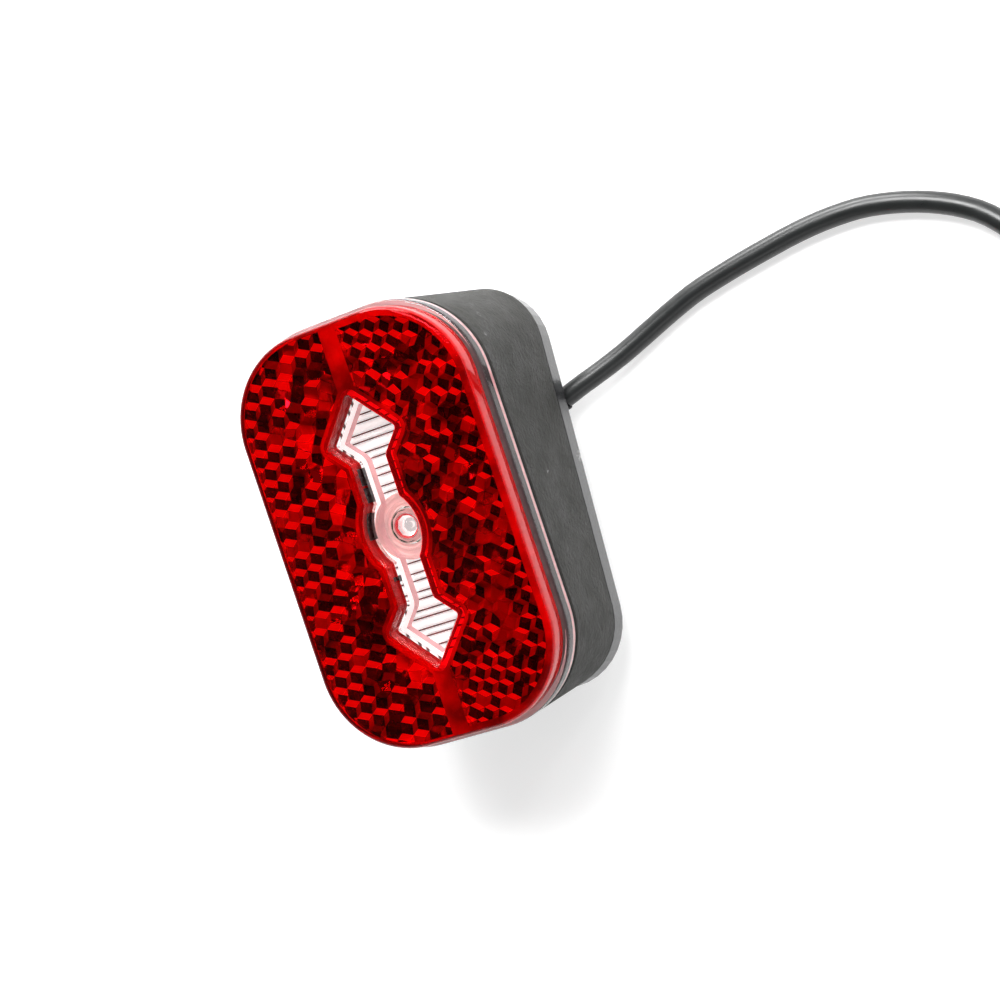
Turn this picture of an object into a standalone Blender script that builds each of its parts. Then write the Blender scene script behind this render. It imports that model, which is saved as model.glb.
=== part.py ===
"""Rear light with a reflex lens for a carrier or mudguard, on its jacketed low-voltage lead.

The light lies on its back: the mounting pad's face is z = 0, +Z points out of the lens,
+X is the light's width and +Y its length. Metres throughout.
"""

from math import atan2, cos, pi, radians, sin, tan

import bmesh
import bpy
from mathutils import Vector

# ---- driving dimensions --------------------------------------------------------------------
GAP = 0.0003  # clearance between neighbouring pieces

LENS_WIDTH = 0.0485
LENS_LENGTH = 0.080
LENS_CORNER = 0.017
LENS_FACE = 0.0035  # heights in the lens frame, whose z = 0 is the clear window's face
LENS_BASE = -0.0016
LENS_EDGE_DROP = 0.0015
LENS_EDGE_INSET = 0.0012
LENS_WALL = 0.0015
LENS_PLATE = 0.0016

CASE_WIDTH = 0.0505
CASE_LENGTH = 0.082
CASE_CORNER = 0.018
CASE_WALL = 0.002
CASE_DRAFT = 0.0009  # how far the wall leans in from front edge to crease
CASE_DEPTH = 0.0317  # lens frame origin to the crease, at mid length
CASE_FRONT = -0.0065
CREASE_CORNER = 0.013  # tighter than at the front edge
CREASE_ROUND = 0.0008

RIM_FRONT = LENS_BASE - GAP
RIM_BACK = -0.0056
RIM_WALL = 0.0016
CLEAR_PLATE = 0.0015

WEDGE = radians(10)  # lens plane against the mounting face

WINDOW_TIP = 0.0265
WINDOW_SHOULDER = (0.0075, 0.018)
WINDOW_NECK = (0.0037, 0.0138)
WINDOW_BULGE = 0.00575
WINDOW_BULGE_END = 0.0058
COLLAR_WALL = 0.0012

PANEL_BAND = 0.0036  # smooth band between the two reflex panels

PAD_THICKNESS = 0.0015
PAD_WIDTH = 0.0232
PAD_LENGTH = 0.061
FOOT_WIDTH = 0.024
FOOT_LENGTH = 0.062
FOOT_CORNER = 0.006
FOOT_BASE = PAD_THICKNESS + GAP
COVER_BASE = 0.009
COVER_FLOOR = 0.0022
COVER_WALL = 0.002
COVER_ROUND = 0.0012
CREASE_HEIGHT = 0.015  # the crease's height over the mounting face
COVER_RIM = CREASE_HEIGHT - 3 * GAP
COVER_INSET = 0.0002

INSERT_PITCH = 0.050  # M5 carrier mounting pitch
INSERT_RADIUS = 0.0035
INSERT_BORE = 0.0025
INSERT_LENGTH = 0.0068

BOSS_RADIUS = 0.003
BOSS_HEIGHT = 0.011
BOSS_REACH = 0.0084  # from the corner arc's centre to the boss, along the diagonal
SCREW_RADIUS = 0.0013
SCREW_HEAD_RADIUS = 0.0026
SCREW_HEAD = 0.0016

BOARD_FRONT = -0.0104
BOARD_THICKNESS = 0.0016
BOARD_WIDTH = 0.042
BOARD_LENGTH = 0.060
BOARD_CORNER = 0.010
BOARD_SCREW_X = 0.0186
LEDGE_DEPTH = 0.009

BED_FRONT = -0.0037
BED_FLOOR = -0.0062
BED_BACK = -0.0088
BED_WALL = 0.0022
LED_HOLE = 0.0036
LED_DISC_RADIUS = 0.0065
LED_DISC_FRONT = -0.0042
LED_DISC_THICKNESS = 0.0012
LED_TOP = -0.0016
LED_DOME_RADIUS = 0.0024
LED_FLANGE_RADIUS = 0.0033

CABLE_DIAMETER = 0.0042
CABLE_RADIUS = CABLE_DIAMETER / 2
CABLE_ANGLE = radians(21)  # the lead's heading from +X as it leaves the foot
GLAND_PLACE = (0.012, 0.0144, 0.0049)  # where the gland's axis passes the foot's side
GLAND_INSIDE = 0.0065
GLAND_OUTSIDE = 0.0105
GLAND_SOCKET = 0.0028
GLAND_WELL = 0.0085  # from the same point to the shaft that takes the cores up into the case
GLAND_STANDOFF = 0.0018  # clears the foot's side, which the gland leaves at a slant

COIL_CENTRE = (0.1515, 0.0225)
COIL_INNER = 0.0174  # radius of the innermost turn's centreline
COIL_BOTTOM_TURNS = 3
COIL_LIFT = 0.0009  # the tie lies under the coil
TIE_ANGLE = radians(35)
TIE_WIDTH = 0.005
TIE_THICKNESS = 0.0006

CONNECTOR_HEADING = radians(-8)
CONNECTOR_RADIUS = 0.0048
CONNECTOR_LENGTH = 0.028

FINE = 9  # arc steps per quarter on the large outlines
ROUND = 20  # sides of small turned pieces

# The lens frame sits so that the crease plane is level with the mounting face and the whole
# light is centred over its pad.
LENS_PLACE = (0.0, -0.00305, CREASE_HEIGHT + CASE_DEPTH * cos(WEDGE))
CREASE_MIDDLE = LENS_PLACE[1] + CASE_DEPTH * sin(WEDGE)

# The lead's route over the surface, chosen by hand: straight out of the gland, down to the
# surface, a long rise and fall to the right, then into the coil.
LEAD_ROUTE = [
    (0.0262, 0.0198, 0.0044),
    (0.0305, 0.0213, 0.0037),
    (0.0360, 0.0234, 0.0029),
    (0.0418, 0.0259, 0.0024),
    (0.0476, 0.0283, 0.0022),
    (0.0533, 0.0303, 0.0022),
    (0.0588, 0.0316, 0.0022),
    (0.0643, 0.0327, 0.0022),
    (0.0696, 0.0336, 0.0022),
    (0.0747, 0.0344, 0.0022),
    (0.0799, 0.0349, 0.0022),
    (0.0848, 0.0350, 0.0022),
    (0.0895, 0.0347, 0.0022),
    (0.0940, 0.0338, 0.0022),
    (0.0984, 0.0325, 0.0022),
    (0.1026, 0.0308, 0.0022),
    (0.1067, 0.0286, 0.0022),
    (0.1105, 0.0258, 0.0023),
    (0.1140, 0.0219, 0.0025),
    (0.1172, 0.0174, 0.0028),
]


# ---- outlines ------------------------------------------------------------------------------
def arc(centre, radius, start, end, steps):
    """Points on an arc, both ends included; angles in degrees."""
    points = []
    for step in range(steps + 1):
        angle = radians(start + (end - start) * step / steps)
        points.append((centre[0] + radius * cos(angle), centre[1] + radius * sin(angle)))
    return points


def rounded_outline(width, length, corner, steps=FINE):
    """Counter-clockwise rounded rectangle about the origin."""
    points = []
    for quarter, (side_x, side_y) in enumerate(((1, 1), (-1, 1), (-1, -1), (1, -1))):
        centre = (side_x * (width / 2 - corner), side_y * (length / 2 - corner))
        points += arc(centre, corner, 90 * quarter, 90 * quarter + 90, steps)
    return points


def inset_outline(width, length, corner, inset, steps=FINE):
    return rounded_outline(width - 2 * inset, length - 2 * inset, corner - inset, steps)


def fillet(before, corner, after, radius, steps):
    """The arc that rounds one corner of an outline."""
    to_before = (Vector(before) - Vector(corner)).normalized()
    to_after = (Vector(after) - Vector(corner)).normalized()
    half = to_before.angle(to_after) / 2
    middle = (to_before + to_after).normalized()
    centre = Vector(corner) + middle * (radius / sin(half))
    first = Vector(corner) + to_before * (radius / tan(half)) - centre
    last = Vector(corner) + to_after * (radius / tan(half)) - centre
    start = atan2(first.y, first.x)
    sweep = (atan2(last.y, last.x) - start + pi) % (2 * pi) - pi
    points = []
    for step in range(steps + 1):
        angle = start + sweep * step / steps
        points.append((centre.x + radius * cos(angle), centre.y + radius * sin(angle)))
    return points


def offset_outline(points, distance):
    """The closed counter-clockwise outline with every side moved out by distance."""
    moved = []
    count = len(points)
    for i in range(count):
        before, here, after = (Vector(points[(i + k) % count]) for k in (-1, 0, 1))
        side_in = (here - before).normalized()
        side_out = (after - here).normalized()
        normal_in = Vector((side_in.y, -side_in.x))
        normal_out = Vector((side_out.y, -side_out.x))
        mitre = (normal_in + normal_out) / (1 + normal_in.dot(normal_out))
        moved.append(tuple(here + mitre * distance))
    return moved


def window_outline(offset=0.0):
    """The window moved out by offset: two arrow-headed wings on a neck that bulges at the LED."""
    swell = WINDOW_BULGE - WINDOW_NECK[0]
    bow = (WINDOW_BULGE_END**2 + swell**2) / (2 * swell)
    half_angle = atan2(WINDOW_BULGE_END, bow - swell) * 180 / pi
    neck_round = max(0.0015 - offset, 0.0004)
    tip_round = max(0.0008 + offset, 0.0003)
    shoulder_x, shoulder_y = WINDOW_SHOULDER
    neck_x, neck_y = WINDOW_NECK
    corners = []
    for side in (1, -1):
        turn = 0 if side == 1 else 180
        centre = (side * (WINDOW_BULGE - bow), 0.0)
        for point in arc(centre, bow, turn - half_angle, turn + half_angle, 6):
            corners.append((point, 0.0))
        corners.append(((side * neck_x, side * neck_y), neck_round))
        corners.append(((side * shoulder_x, side * shoulder_y), tip_round))
        corners.append(((0.0, side * WINDOW_TIP), tip_round))
        corners.append(((-side * shoulder_x, side * shoulder_y), tip_round))
        corners.append(((-side * neck_x, side * neck_y), neck_round))
    sharp = offset_outline([point for point, _ in corners], offset)
    points = []
    for i, (_, radius) in enumerate(corners):
        if radius:
            points += fillet(sharp[i - 1], sharp[i], sharp[(i + 1) % len(sharp)], radius, 3)
        else:
            points.append(sharp[i])
    return points


# ---- solids --------------------------------------------------------------------------------
def at_height(outline, z):
    return [(x, y, z) for x, y in outline]


def circle(radius, z, steps=ROUND, centre=(0.0, 0.0)):
    ring = []
    for step in range(steps):
        angle = 2 * pi * step / steps
        ring.append((centre[0] + radius * cos(angle), centre[1] + radius * sin(angle), z))
    return ring


def loft(rings, closed=False):
    """Skin between rings of equal length, capped at both ends or closed on itself."""
    body = bmesh.new()
    loops = [[body.verts.new(point) for point in ring] for ring in rings]
    pairs = list(zip(loops, loops[1:]))
    if closed:
        pairs.append((loops[-1], loops[0]))
    for low, high in pairs:
        for i in range(len(low)):
            j = (i + 1) % len(low)
            body.faces.new((low[i], low[j], high[j], high[i]))
    if not closed:
        body.faces.new(reversed(loops[0]))
        body.faces.new(loops[-1])
    bmesh.ops.recalc_face_normals(body, faces=body.faces[:])
    return body


def prism(outline, low, high):
    return loft([at_height(outline, low), at_height(outline, high)])


def turned(profile, steps=ROUND):
    """A profile of (radius, height) pairs turned about Z and capped at its ends."""
    return loft([circle(radius, height, steps) for radius, height in profile])


def turned_ring(profile, steps=ROUND):
    """A closed profile of (radius, height) pairs turned about Z."""
    return loft([circle(radius, height, steps) for radius, height in profile], closed=True)


# ---- objects -------------------------------------------------------------------------------
def plastic(name, colour, roughness, metallic=0.0):
    surface = bpy.data.materials.new(name)
    surface.use_nodes = True
    shader = surface.node_tree.nodes["Principled BSDF"]
    shader.inputs["Base Color"].default_value = (*colour, 1.0)
    shader.inputs["Roughness"].default_value = roughness
    shader.inputs["Metallic"].default_value = metallic
    surface.diffuse_color = (*colour, 1.0)
    return surface


def make(name, body, look, parent=None, place=(0, 0, 0), turn=None, sharp=35):
    """A named object from a bmesh, shaded smooth except at its sharp edges."""
    mesh = bpy.data.meshes.new(name)
    body.to_mesh(mesh)
    body.free()
    mesh.shade_smooth()
    mesh.set_sharp_from_angle(angle=radians(sharp))
    thing = bpy.data.objects.new(name, mesh)
    bpy.context.scene.collection.objects.link(thing)
    thing.data.materials.append(plastic(name, *look))
    thing.location = place
    if turn is not None:
        thing.rotation_euler = turn
    thing.parent = parent
    return thing


def helper(name, body, parent=None, place=(0, 0, 0), turn=None):
    """A hidden shape that a Boolean adds or takes away."""
    thing = make(name, body, ((1, 0, 0), 0.5), parent, place, turn)
    thing.hide_render = True
    thing.display_type = "WIRE"
    return thing


def boolean(target, operation, other):
    step = target.modifiers.new(f"{operation.lower()} {other.name}", "BOOLEAN")
    step.operation = operation
    step.solver = "EXACT"
    step.object = other


def add(target, other):
    boolean(target, "UNION", other)


def cut(target, other):
    boolean(target, "DIFFERENCE", other)


def tube(name, points, radius, look, sides=2):
    """A capped round tube along hand-placed points, read from a smooth curve through them."""
    curve = bpy.data.curves.new(name, "CURVE")
    curve.dimensions = "3D"
    curve.bevel_depth = radius
    curve.bevel_resolution = sides
    curve.use_fill_caps = True
    spline = curve.splines.new("POLY")
    smooth = smooth_route(points, 2.4 * radius * 2)
    spline.points.add(len(smooth) - 1)
    for target, point in zip(spline.points, smooth):
        target.co = (*point, 1.0)
    thing = bpy.data.objects.new(name, curve)
    bpy.context.scene.collection.objects.link(thing)
    curve.materials.append(plastic(name, *look))
    return thing


def smooth_route(points, spacing):
    """Points about spacing apart on a Catmull-Rom curve through the route."""
    route = [Vector(point) for point in points]
    route = [2 * route[0] - route[1], *route, 2 * route[-1] - route[-2]]
    dense = []
    for a, b, c, d in zip(route, route[1:], route[2:], route[3:]):
        for step in range(20):
            t = step / 20
            dense.append(
                0.5 * (2 * b + (c - a) * t + (2 * a - 5 * b + 4 * c - d) * t**2)
                + 0.5 * (3 * b - 3 * c + d - a) * t**3
            )
    dense.append(route[-2])
    travelled = [0.0]
    for a, b in zip(dense, dense[1:]):
        travelled.append(travelled[-1] + (b - a).length)
    count = max(2, round(travelled[-1] / spacing))
    even = []
    index = 0
    for k in range(count + 1):
        wanted = travelled[-1] * k / count
        while index < len(dense) - 2 and travelled[index + 1] < wanted:
            index += 1
        share = (wanted - travelled[index]) / (travelled[index + 1] - travelled[index])
        even.append(dense[index].lerp(dense[index + 1], share))
    return even


RED = ((0.55, 0.005, 0.012), 0.08)
CLEAR = ((0.85, 0.85, 0.85), 0.05)
BLACK = ((0.03, 0.031, 0.034), 0.5)
RUBBER = ((0.02, 0.02, 0.021), 0.7)
STEEL = ((0.55, 0.55, 0.54), 0.3, 1.0)
BRASS = ((0.72, 0.55, 0.25), 0.3, 1.0)
WHITE = ((0.85, 0.85, 0.83), 0.3)


# ---- lens end ------------------------------------------------------------------------------
def build_red_lens(frame):
    def ring(inset, z):
        return at_height(inset_outline(LENS_WIDTH, LENS_LENGTH, LENS_CORNER, inset), z)

    rings = [ring(LENS_WALL, LENS_FACE - LENS_PLATE), ring(LENS_WALL, LENS_BASE)]
    rings.append(ring(0.0, LENS_BASE))
    for share in (0.0, 0.35, 0.7, 1.0):
        inset = LENS_EDGE_INSET * (1 - cos(share * pi / 2))
        height = LENS_FACE - LENS_EDGE_DROP * (1 - sin(share * pi / 2))
        rings.append(ring(inset, height))
    lens = make("red_lens", loft(rings), RED, frame)
    collar = prism(window_outline(COLLAR_WALL), LENS_BASE, LENS_FACE - LENS_PLATE / 2)
    add(lens, helper("red_lens_collar", collar, frame))
    hole = prism(window_outline(), 2 * LENS_BASE, 2 * LENS_FACE)
    cut(lens, helper("red_lens_hole", hole, frame))


def build_reflex_panels(frame):
    """Two prism plates behind the red face, either side of the smooth middle band."""
    inset = LENS_WALL + GAP
    half_width = LENS_WIDTH / 2 - inset
    half_length = LENS_LENGTH / 2 - inset
    corner = LENS_CORNER - inset
    for side, name in ((-1, "left"), (1, "right")):
        centre_x = half_width - corner
        centre_y = half_length - corner
        outline = [(PANEL_BAND / 2, -half_length)]
        outline += arc((centre_x, -centre_y), corner, -90, 0, FINE)
        outline += arc((centre_x, centre_y), corner, 0, 90, FINE)
        outline.append((PANEL_BAND / 2, half_length))
        outline = [(side * x, y) for x, y in outline]
        top = LENS_FACE - LENS_PLATE - GAP
        panel = make(f"reflex_panel_{name}", prism(outline, LENS_BASE, top), RED, frame)
        hole = prism(window_outline(COLLAR_WALL + GAP), 2 * LENS_BASE, 2 * LENS_FACE)
        cut(panel, helper(f"reflex_panel_{name}_hole", hole, frame))


def build_clear_lens(frame):
    def ring(inset, z):
        return at_height(inset_outline(CASE_WIDTH, CASE_LENGTH, CASE_CORNER, inset), z)

    edge = 0.0004
    rings = [
        ring(RIM_WALL, RIM_FRONT - CLEAR_PLATE),
        ring(RIM_WALL, RIM_BACK),
        ring(0.0, RIM_BACK),
        ring(0.0, RIM_FRONT - edge),
        ring(edge, RIM_FRONT),
    ]
    lens = make("clear_lens", loft(rings), CLEAR, frame)
    island = prism(window_outline(-GAP), RIM_FRONT - CLEAR_PLATE / 2, 0.0)
    add(lens, helper("clear_lens_island", island, frame))
    hollow = prism(window_outline(-0.0014), 2 * RIM_BACK, -0.0012)
    cut(lens, helper("clear_lens_hollow", hollow, frame))


def build_lens_seal(frame):
    rings = []
    front = RIM_BACK - GAP
    back = CASE_FRONT + GAP
    for inset, z in ((0.0004, back), (0.0004, front), (0.0014, front), (0.0014, back)):
        rings.append(at_height(inset_outline(CASE_WIDTH, CASE_LENGTH, CASE_CORNER, inset), z))
    make("lens_seal", loft(rings, closed=True), RUBBER, frame)


# ---- light source --------------------------------------------------------------------------
def build_reflector_bed(frame):
    """White trough under the window, with a round recess and a hole for the LED."""
    block = prism(window_outline(BED_WALL), BED_BACK, BED_FRONT)
    bed = make("reflector_bed", block, WHITE, frame)
    lip = 0.001
    trough = loft(
        [
            at_height(window_outline(-0.0017), BED_FLOOR),
            at_height(window_outline(-0.0005), BED_FRONT),
            at_height(window_outline(-0.0005), BED_FRONT + lip),
        ]
    )
    cut(bed, helper("reflector_bed_trough", trough, frame))
    recess = turned([(LED_DISC_RADIUS + GAP, BED_FLOOR), (LED_DISC_RADIUS + GAP, 0.0)])
    cut(bed, helper("reflector_bed_recess", recess, frame))
    hole = turned([(LED_HOLE + GAP, 2 * BED_BACK), (LED_HOLE + GAP, 0.0)])
    cut(bed, helper("reflector_bed_hole", hole, frame))


def build_led(frame):
    disc_back = LED_DISC_FRONT - LED_DISC_THICKNESS
    disc = turned_ring(
        [
            (LED_DISC_RADIUS, disc_back),
            (LED_DISC_RADIUS, LED_DISC_FRONT),
            (LED_HOLE, LED_DISC_FRONT),
            (LED_HOLE, disc_back),
        ],
        28,
    )
    make("led_disc", disc, ((0.9, 0.72, 0.7), 0.25), frame)

    flange_top = LED_DISC_FRONT + 0.0006
    profile = [
        (LED_FLANGE_RADIUS, BOARD_FRONT + GAP),
        (LED_FLANGE_RADIUS, flange_top),
        (LED_DOME_RADIUS, flange_top),
    ]
    dome_middle = LED_TOP - LED_DOME_RADIUS
    for angle in (0, 25, 50, 70, 85):
        lean = radians(angle)
        profile.append((LED_DOME_RADIUS * cos(lean), dome_middle + LED_DOME_RADIUS * sin(lean)))
    make("led", turned(profile), ((0.95, 0.75, 0.72), 0.05), frame)


def build_board(frame):
    back = BOARD_FRONT - BOARD_THICKNESS
    outline = rounded_outline(BOARD_WIDTH, BOARD_LENGTH, BOARD_CORNER, 5)
    board = make("circuit_board", prism(outline, back, BOARD_FRONT), ((0.02, 0.16, 0.06), 0.4), frame)
    for number, x in enumerate((-BOARD_SCREW_X, BOARD_SCREW_X), 1):
        hole = prism_circle(SCREW_RADIUS + GAP, back - 0.002, BOARD_FRONT + 0.002, (x, 0.0))
        cut(board, helper(f"board_hole_{number}", hole, frame))
        build_screw(f"board_screw_{number}", (x, 0.0, BOARD_FRONT + GAP), 0.0065, frame, -1)

    under = back - GAP
    parts = (
        ("regulator", (0.0065, 0.0052, 0.0018), (-0.009, 0.012), ((0.02, 0.02, 0.02), 0.4)),
        ("diode", (0.0045, 0.0026, 0.0021), (-0.009, -0.002), ((0.02, 0.02, 0.02), 0.4)),
        ("resistor_1", (0.0032, 0.0016, 0.0007), (-0.009, -0.012), ((0.03, 0.03, 0.03), 0.35)),
        ("resistor_2", (0.0032, 0.0016, 0.0007), (-0.009, -0.016), ((0.03, 0.03, 0.03), 0.35)),
    )
    for name, (wide, long, tall), (x, y), look in parts:
        outline = [(x + px, y + py) for px, py in rounded_outline(wide, long, 0.0003, 1)]
        make(name, prism(outline, under - tall, under), look, frame)
    can = 0.004
    crimp = 0.0004
    profile = [
        (can - crimp, under - 0.0115),
        (can, under - 0.0115 + crimp),
        (can, under - 0.0025),
        (can - crimp, under - 0.002),
        (can, under - 0.0015),
        (can, under),
    ]
    can_body = turned(profile)
    make("capacitor", can_body, ((0.05, 0.08, 0.25), 0.35), frame, (0.009, 0.014, 0.0))
    choke = turned([(0.0034, under - 0.005), (0.0038, under - 0.0046), (0.0038, under)])
    make("inductor", choke, ((0.03, 0.03, 0.03), 0.5), frame, (0.009, -0.012, 0.0))


def prism_circle(radius, low, high, centre=(0.0, 0.0), steps=ROUND):
    return loft([circle(radius, low, steps, centre), circle(radius, high, steps, centre)])


def build_screw(name, place, length, parent=None, way=1):
    """A pan-head screw whose shank runs up from its head's seat, or down with way -1."""
    rounding = 0.0005
    profile = [
        (SCREW_HEAD_RADIUS - rounding, -way * SCREW_HEAD),
        (SCREW_HEAD_RADIUS, -way * (SCREW_HEAD - rounding)),
        (SCREW_HEAD_RADIUS, 0.0),
        (SCREW_RADIUS, 0.0),
        (SCREW_RADIUS, way * (length - 0.001)),
        (SCREW_RADIUS * 0.4, way * length),
    ]
    make(name, turned(profile, 14), STEEL, parent, place)


# ---- case ----------------------------------------------------------------------------------
def crease_outline(inset, steps=FINE):
    """The case's section at the crease, seen along the lens frame's axis."""
    width = CASE_WIDTH - 2 * CASE_DRAFT
    length = CASE_LENGTH - 2 * CASE_DRAFT
    return inset_outline(width, length, CREASE_CORNER, inset, steps)


def crease_ring(inset, rise=0.0):
    """That section in the tilted crease plane, or rise nearer to the lens."""
    return [(x, y, rise - CASE_DEPTH - tan(WEDGE) * y) for x, y in crease_outline(inset)]


def boss_places():
    """The four cover-screw bosses, on the diagonals of the crease section's corners.

    The bosses are upright and the end walls lean, so the four stand half the lean to one side.
    """
    middle_x = CASE_WIDTH / 2 - CASE_DRAFT - CREASE_CORNER
    middle_y = (CASE_LENGTH / 2 - CASE_DRAFT - CREASE_CORNER) / cos(WEDGE)
    middle = CREASE_MIDDLE - tan(WEDGE) * BOSS_HEIGHT / 2
    reach = BOSS_REACH * cos(pi / 4)
    places = []
    for side_x, side_y in ((1, 1), (-1, 1), (-1, -1), (1, -1)):
        places.append((side_x * (middle_x + reach), middle + side_y * (middle_y + reach)))
    return places


def build_housing(frame):
    def front_ring(inset):
        return at_height(inset_outline(CASE_WIDTH, CASE_LENGTH, CASE_CORNER, inset), CASE_FRONT)

    rings = [
        front_ring(0.0),
        crease_ring(0.0, CREASE_ROUND),
        crease_ring(CREASE_ROUND * 0.3, CREASE_ROUND * 0.3),
        crease_ring(CREASE_ROUND),
        crease_ring(CASE_WALL),
        front_ring(CASE_WALL),
    ]
    case = make("housing", loft(rings, closed=True), BLACK, frame)
    for number, (x, y) in enumerate(boss_places(), 1):
        low = CREASE_HEIGHT + 0.0005
        post = prism_circle(BOSS_RADIUS, low, low + BOSS_HEIGHT, (x, y))
        add(case, helper(f"housing_boss_{number}", post))
        bore = prism_circle(SCREW_RADIUS + GAP, low - 0.002, low + 0.009, (x, y), 14)
        cut(case, helper(f"housing_bore_{number}", bore))
    top = BOARD_FRONT - BOARD_THICKNESS - GAP
    for number, side in enumerate((-1, 1), 1):
        middle = side * 0.0202
        outline = [(middle + px, py) for px, py in rounded_outline(0.0076, 0.007, 0.001, 2)]
        ledge = prism(outline, top - LEDGE_DEPTH, top)
        add(case, helper(f"housing_ledge_{number}", ledge, frame))
        bore = prism_circle(SCREW_RADIUS + GAP, top - 0.0075, 0.0, (side * BOARD_SCREW_X, 0.0), 14)
        cut(case, helper(f"housing_ledge_bore_{number}", bore, frame))


def cover_ring(inset, z, steps=FINE):
    """The rear cover's outline: the crease section, which tilting has stretched along Y."""
    return [(x, CREASE_MIDDLE + y / cos(WEDGE), z) for x, y in crease_outline(inset, steps)]


def gland_direction():
    return Vector((cos(CABLE_ANGLE), sin(CABLE_ANGLE), 0.0))


def lay_along(direction):
    """The Euler turn that lays the Z axis along a direction."""
    return Vector(direction).to_track_quat("Z", "Y").to_euler()


def build_rear_cover():
    floor = COVER_BASE + COVER_FLOOR
    rings = [
        cover_ring(COVER_INSET + COVER_WALL, floor),
        cover_ring(COVER_INSET + COVER_WALL, COVER_RIM),
        cover_ring(COVER_INSET, COVER_RIM),
    ]
    for share in (0.0, 0.33, 0.67, 1.0):
        inset = COVER_INSET + COVER_ROUND * (1 - cos(share * pi / 2))
        height = COVER_BASE + COVER_ROUND * (1 - sin(share * pi / 2))
        rings.append(cover_ring(inset, height))
    cover = make("rear_cover", loft(rings), BLACK)
    foot = prism(rounded_outline(FOOT_WIDTH, FOOT_LENGTH, FOOT_CORNER, 5), FOOT_BASE, floor - 0.0005)
    add(cover, helper("rear_cover_foot", foot))
    for number, side in enumerate((-1, 1), 1):
        place = (0.0, side * INSERT_PITCH / 2)
        top = FOOT_BASE + INSERT_LENGTH + 2 * GAP
        pocket = prism_circle(INSERT_RADIUS + GAP, 0.0, top, place)
        cut(cover, helper(f"rear_cover_pocket_{number}", pocket))
    for number, (x, y) in enumerate(boss_places(), 1):
        seat = prism_circle(SCREW_HEAD_RADIUS + 0.0004, 0.0, COVER_BASE + 0.0011, (x, y))
        cut(cover, helper(f"rear_cover_seat_{number}", seat))
        hole = prism_circle(SCREW_RADIUS + GAP, 0.0, CREASE_HEIGHT, (x, y), 14)
        cut(cover, helper(f"rear_cover_hole_{number}", hole))
    socket = turned([(GLAND_SOCKET, -GLAND_WELL - GLAND_SOCKET), (GLAND_SOCKET, GLAND_OUTSIDE)])
    turn = lay_along(gland_direction())
    cut(cover, helper("rear_cover_socket", socket, None, GLAND_PLACE, turn))
    well = Vector(GLAND_PLACE) - gland_direction() * GLAND_WELL
    shaft = prism_circle(GLAND_SOCKET, GLAND_PLACE[2], CREASE_HEIGHT, (well.x, well.y))
    cut(cover, helper("rear_cover_shaft", shaft))


def build_cover_seal():
    rings = []
    low = COVER_RIM + GAP
    high = CREASE_HEIGHT - GAP
    for inset, z in ((0.001, low), (0.001, high), (0.002, high), (0.002, low)):
        rings.append(cover_ring(inset, z))
    make("cover_seal", loft(list(reversed(rings)), closed=True), RUBBER)


def build_mounting():
    outline = rounded_outline(PAD_WIDTH, PAD_LENGTH, FOOT_CORNER, 5)
    pad = make("mounting_pad", prism(outline, 0.0, PAD_THICKNESS), RUBBER)
    for number, (side, name) in enumerate(((1, "upper"), (-1, "lower")), 1):
        place = (0.0, side * INSERT_PITCH / 2)
        hole = prism_circle(INSERT_RADIUS + 0.0005, -0.001, PAD_THICKNESS + 0.001, place)
        cut(pad, helper(f"mounting_pad_hole_{number}", hole))
        edge = 0.0004
        profile = [
            (INSERT_RADIUS - edge, 0.0),
            (INSERT_RADIUS, edge),
            (INSERT_RADIUS, INSERT_LENGTH),
            (INSERT_BORE, INSERT_LENGTH),
            (INSERT_BORE, 0.0),
        ]
        insert = turned_ring(profile, 24)
        make(f"mount_insert_{name}", insert, BRASS, None, (*place, FOOT_BASE + GAP))


def build_cover_screws():
    for number, (x, y) in enumerate(boss_places(), 1):
        build_screw(f"cover_screw_{number}", (x, y, COVER_BASE + 0.0011 - GAP), 0.0125)


# ---- lead ----------------------------------------------------------------------------------
def build_gland():
    """Tapered, ribbed rubber strain relief that grips the lead in the foot's side."""
    profile = [(GLAND_SOCKET - GAP, -GLAND_INSIDE), (GLAND_SOCKET - GAP, GLAND_STANDOFF)]
    ribs = 3
    root, tip = 0.0035, 0.0026
    pitch = (GLAND_OUTSIDE - GLAND_STANDOFF) / ribs
    for rib in range(ribs):
        start = GLAND_STANDOFF + rib * pitch
        thick = root + (tip - root) * rib / (ribs - 1)
        profile.append((thick, start))
        profile.append((thick, start + pitch * 0.6))
        if rib < ribs - 1:
            profile.append((thick - 0.0005, start + pitch * 0.6))
            profile.append((thick - 0.0005, start + pitch))
    profile.append((CABLE_RADIUS + 0.0003, GLAND_OUTSIDE))
    make("cable_gland", turned(profile), RUBBER, None, GLAND_PLACE, lay_along(gland_direction()))


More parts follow.
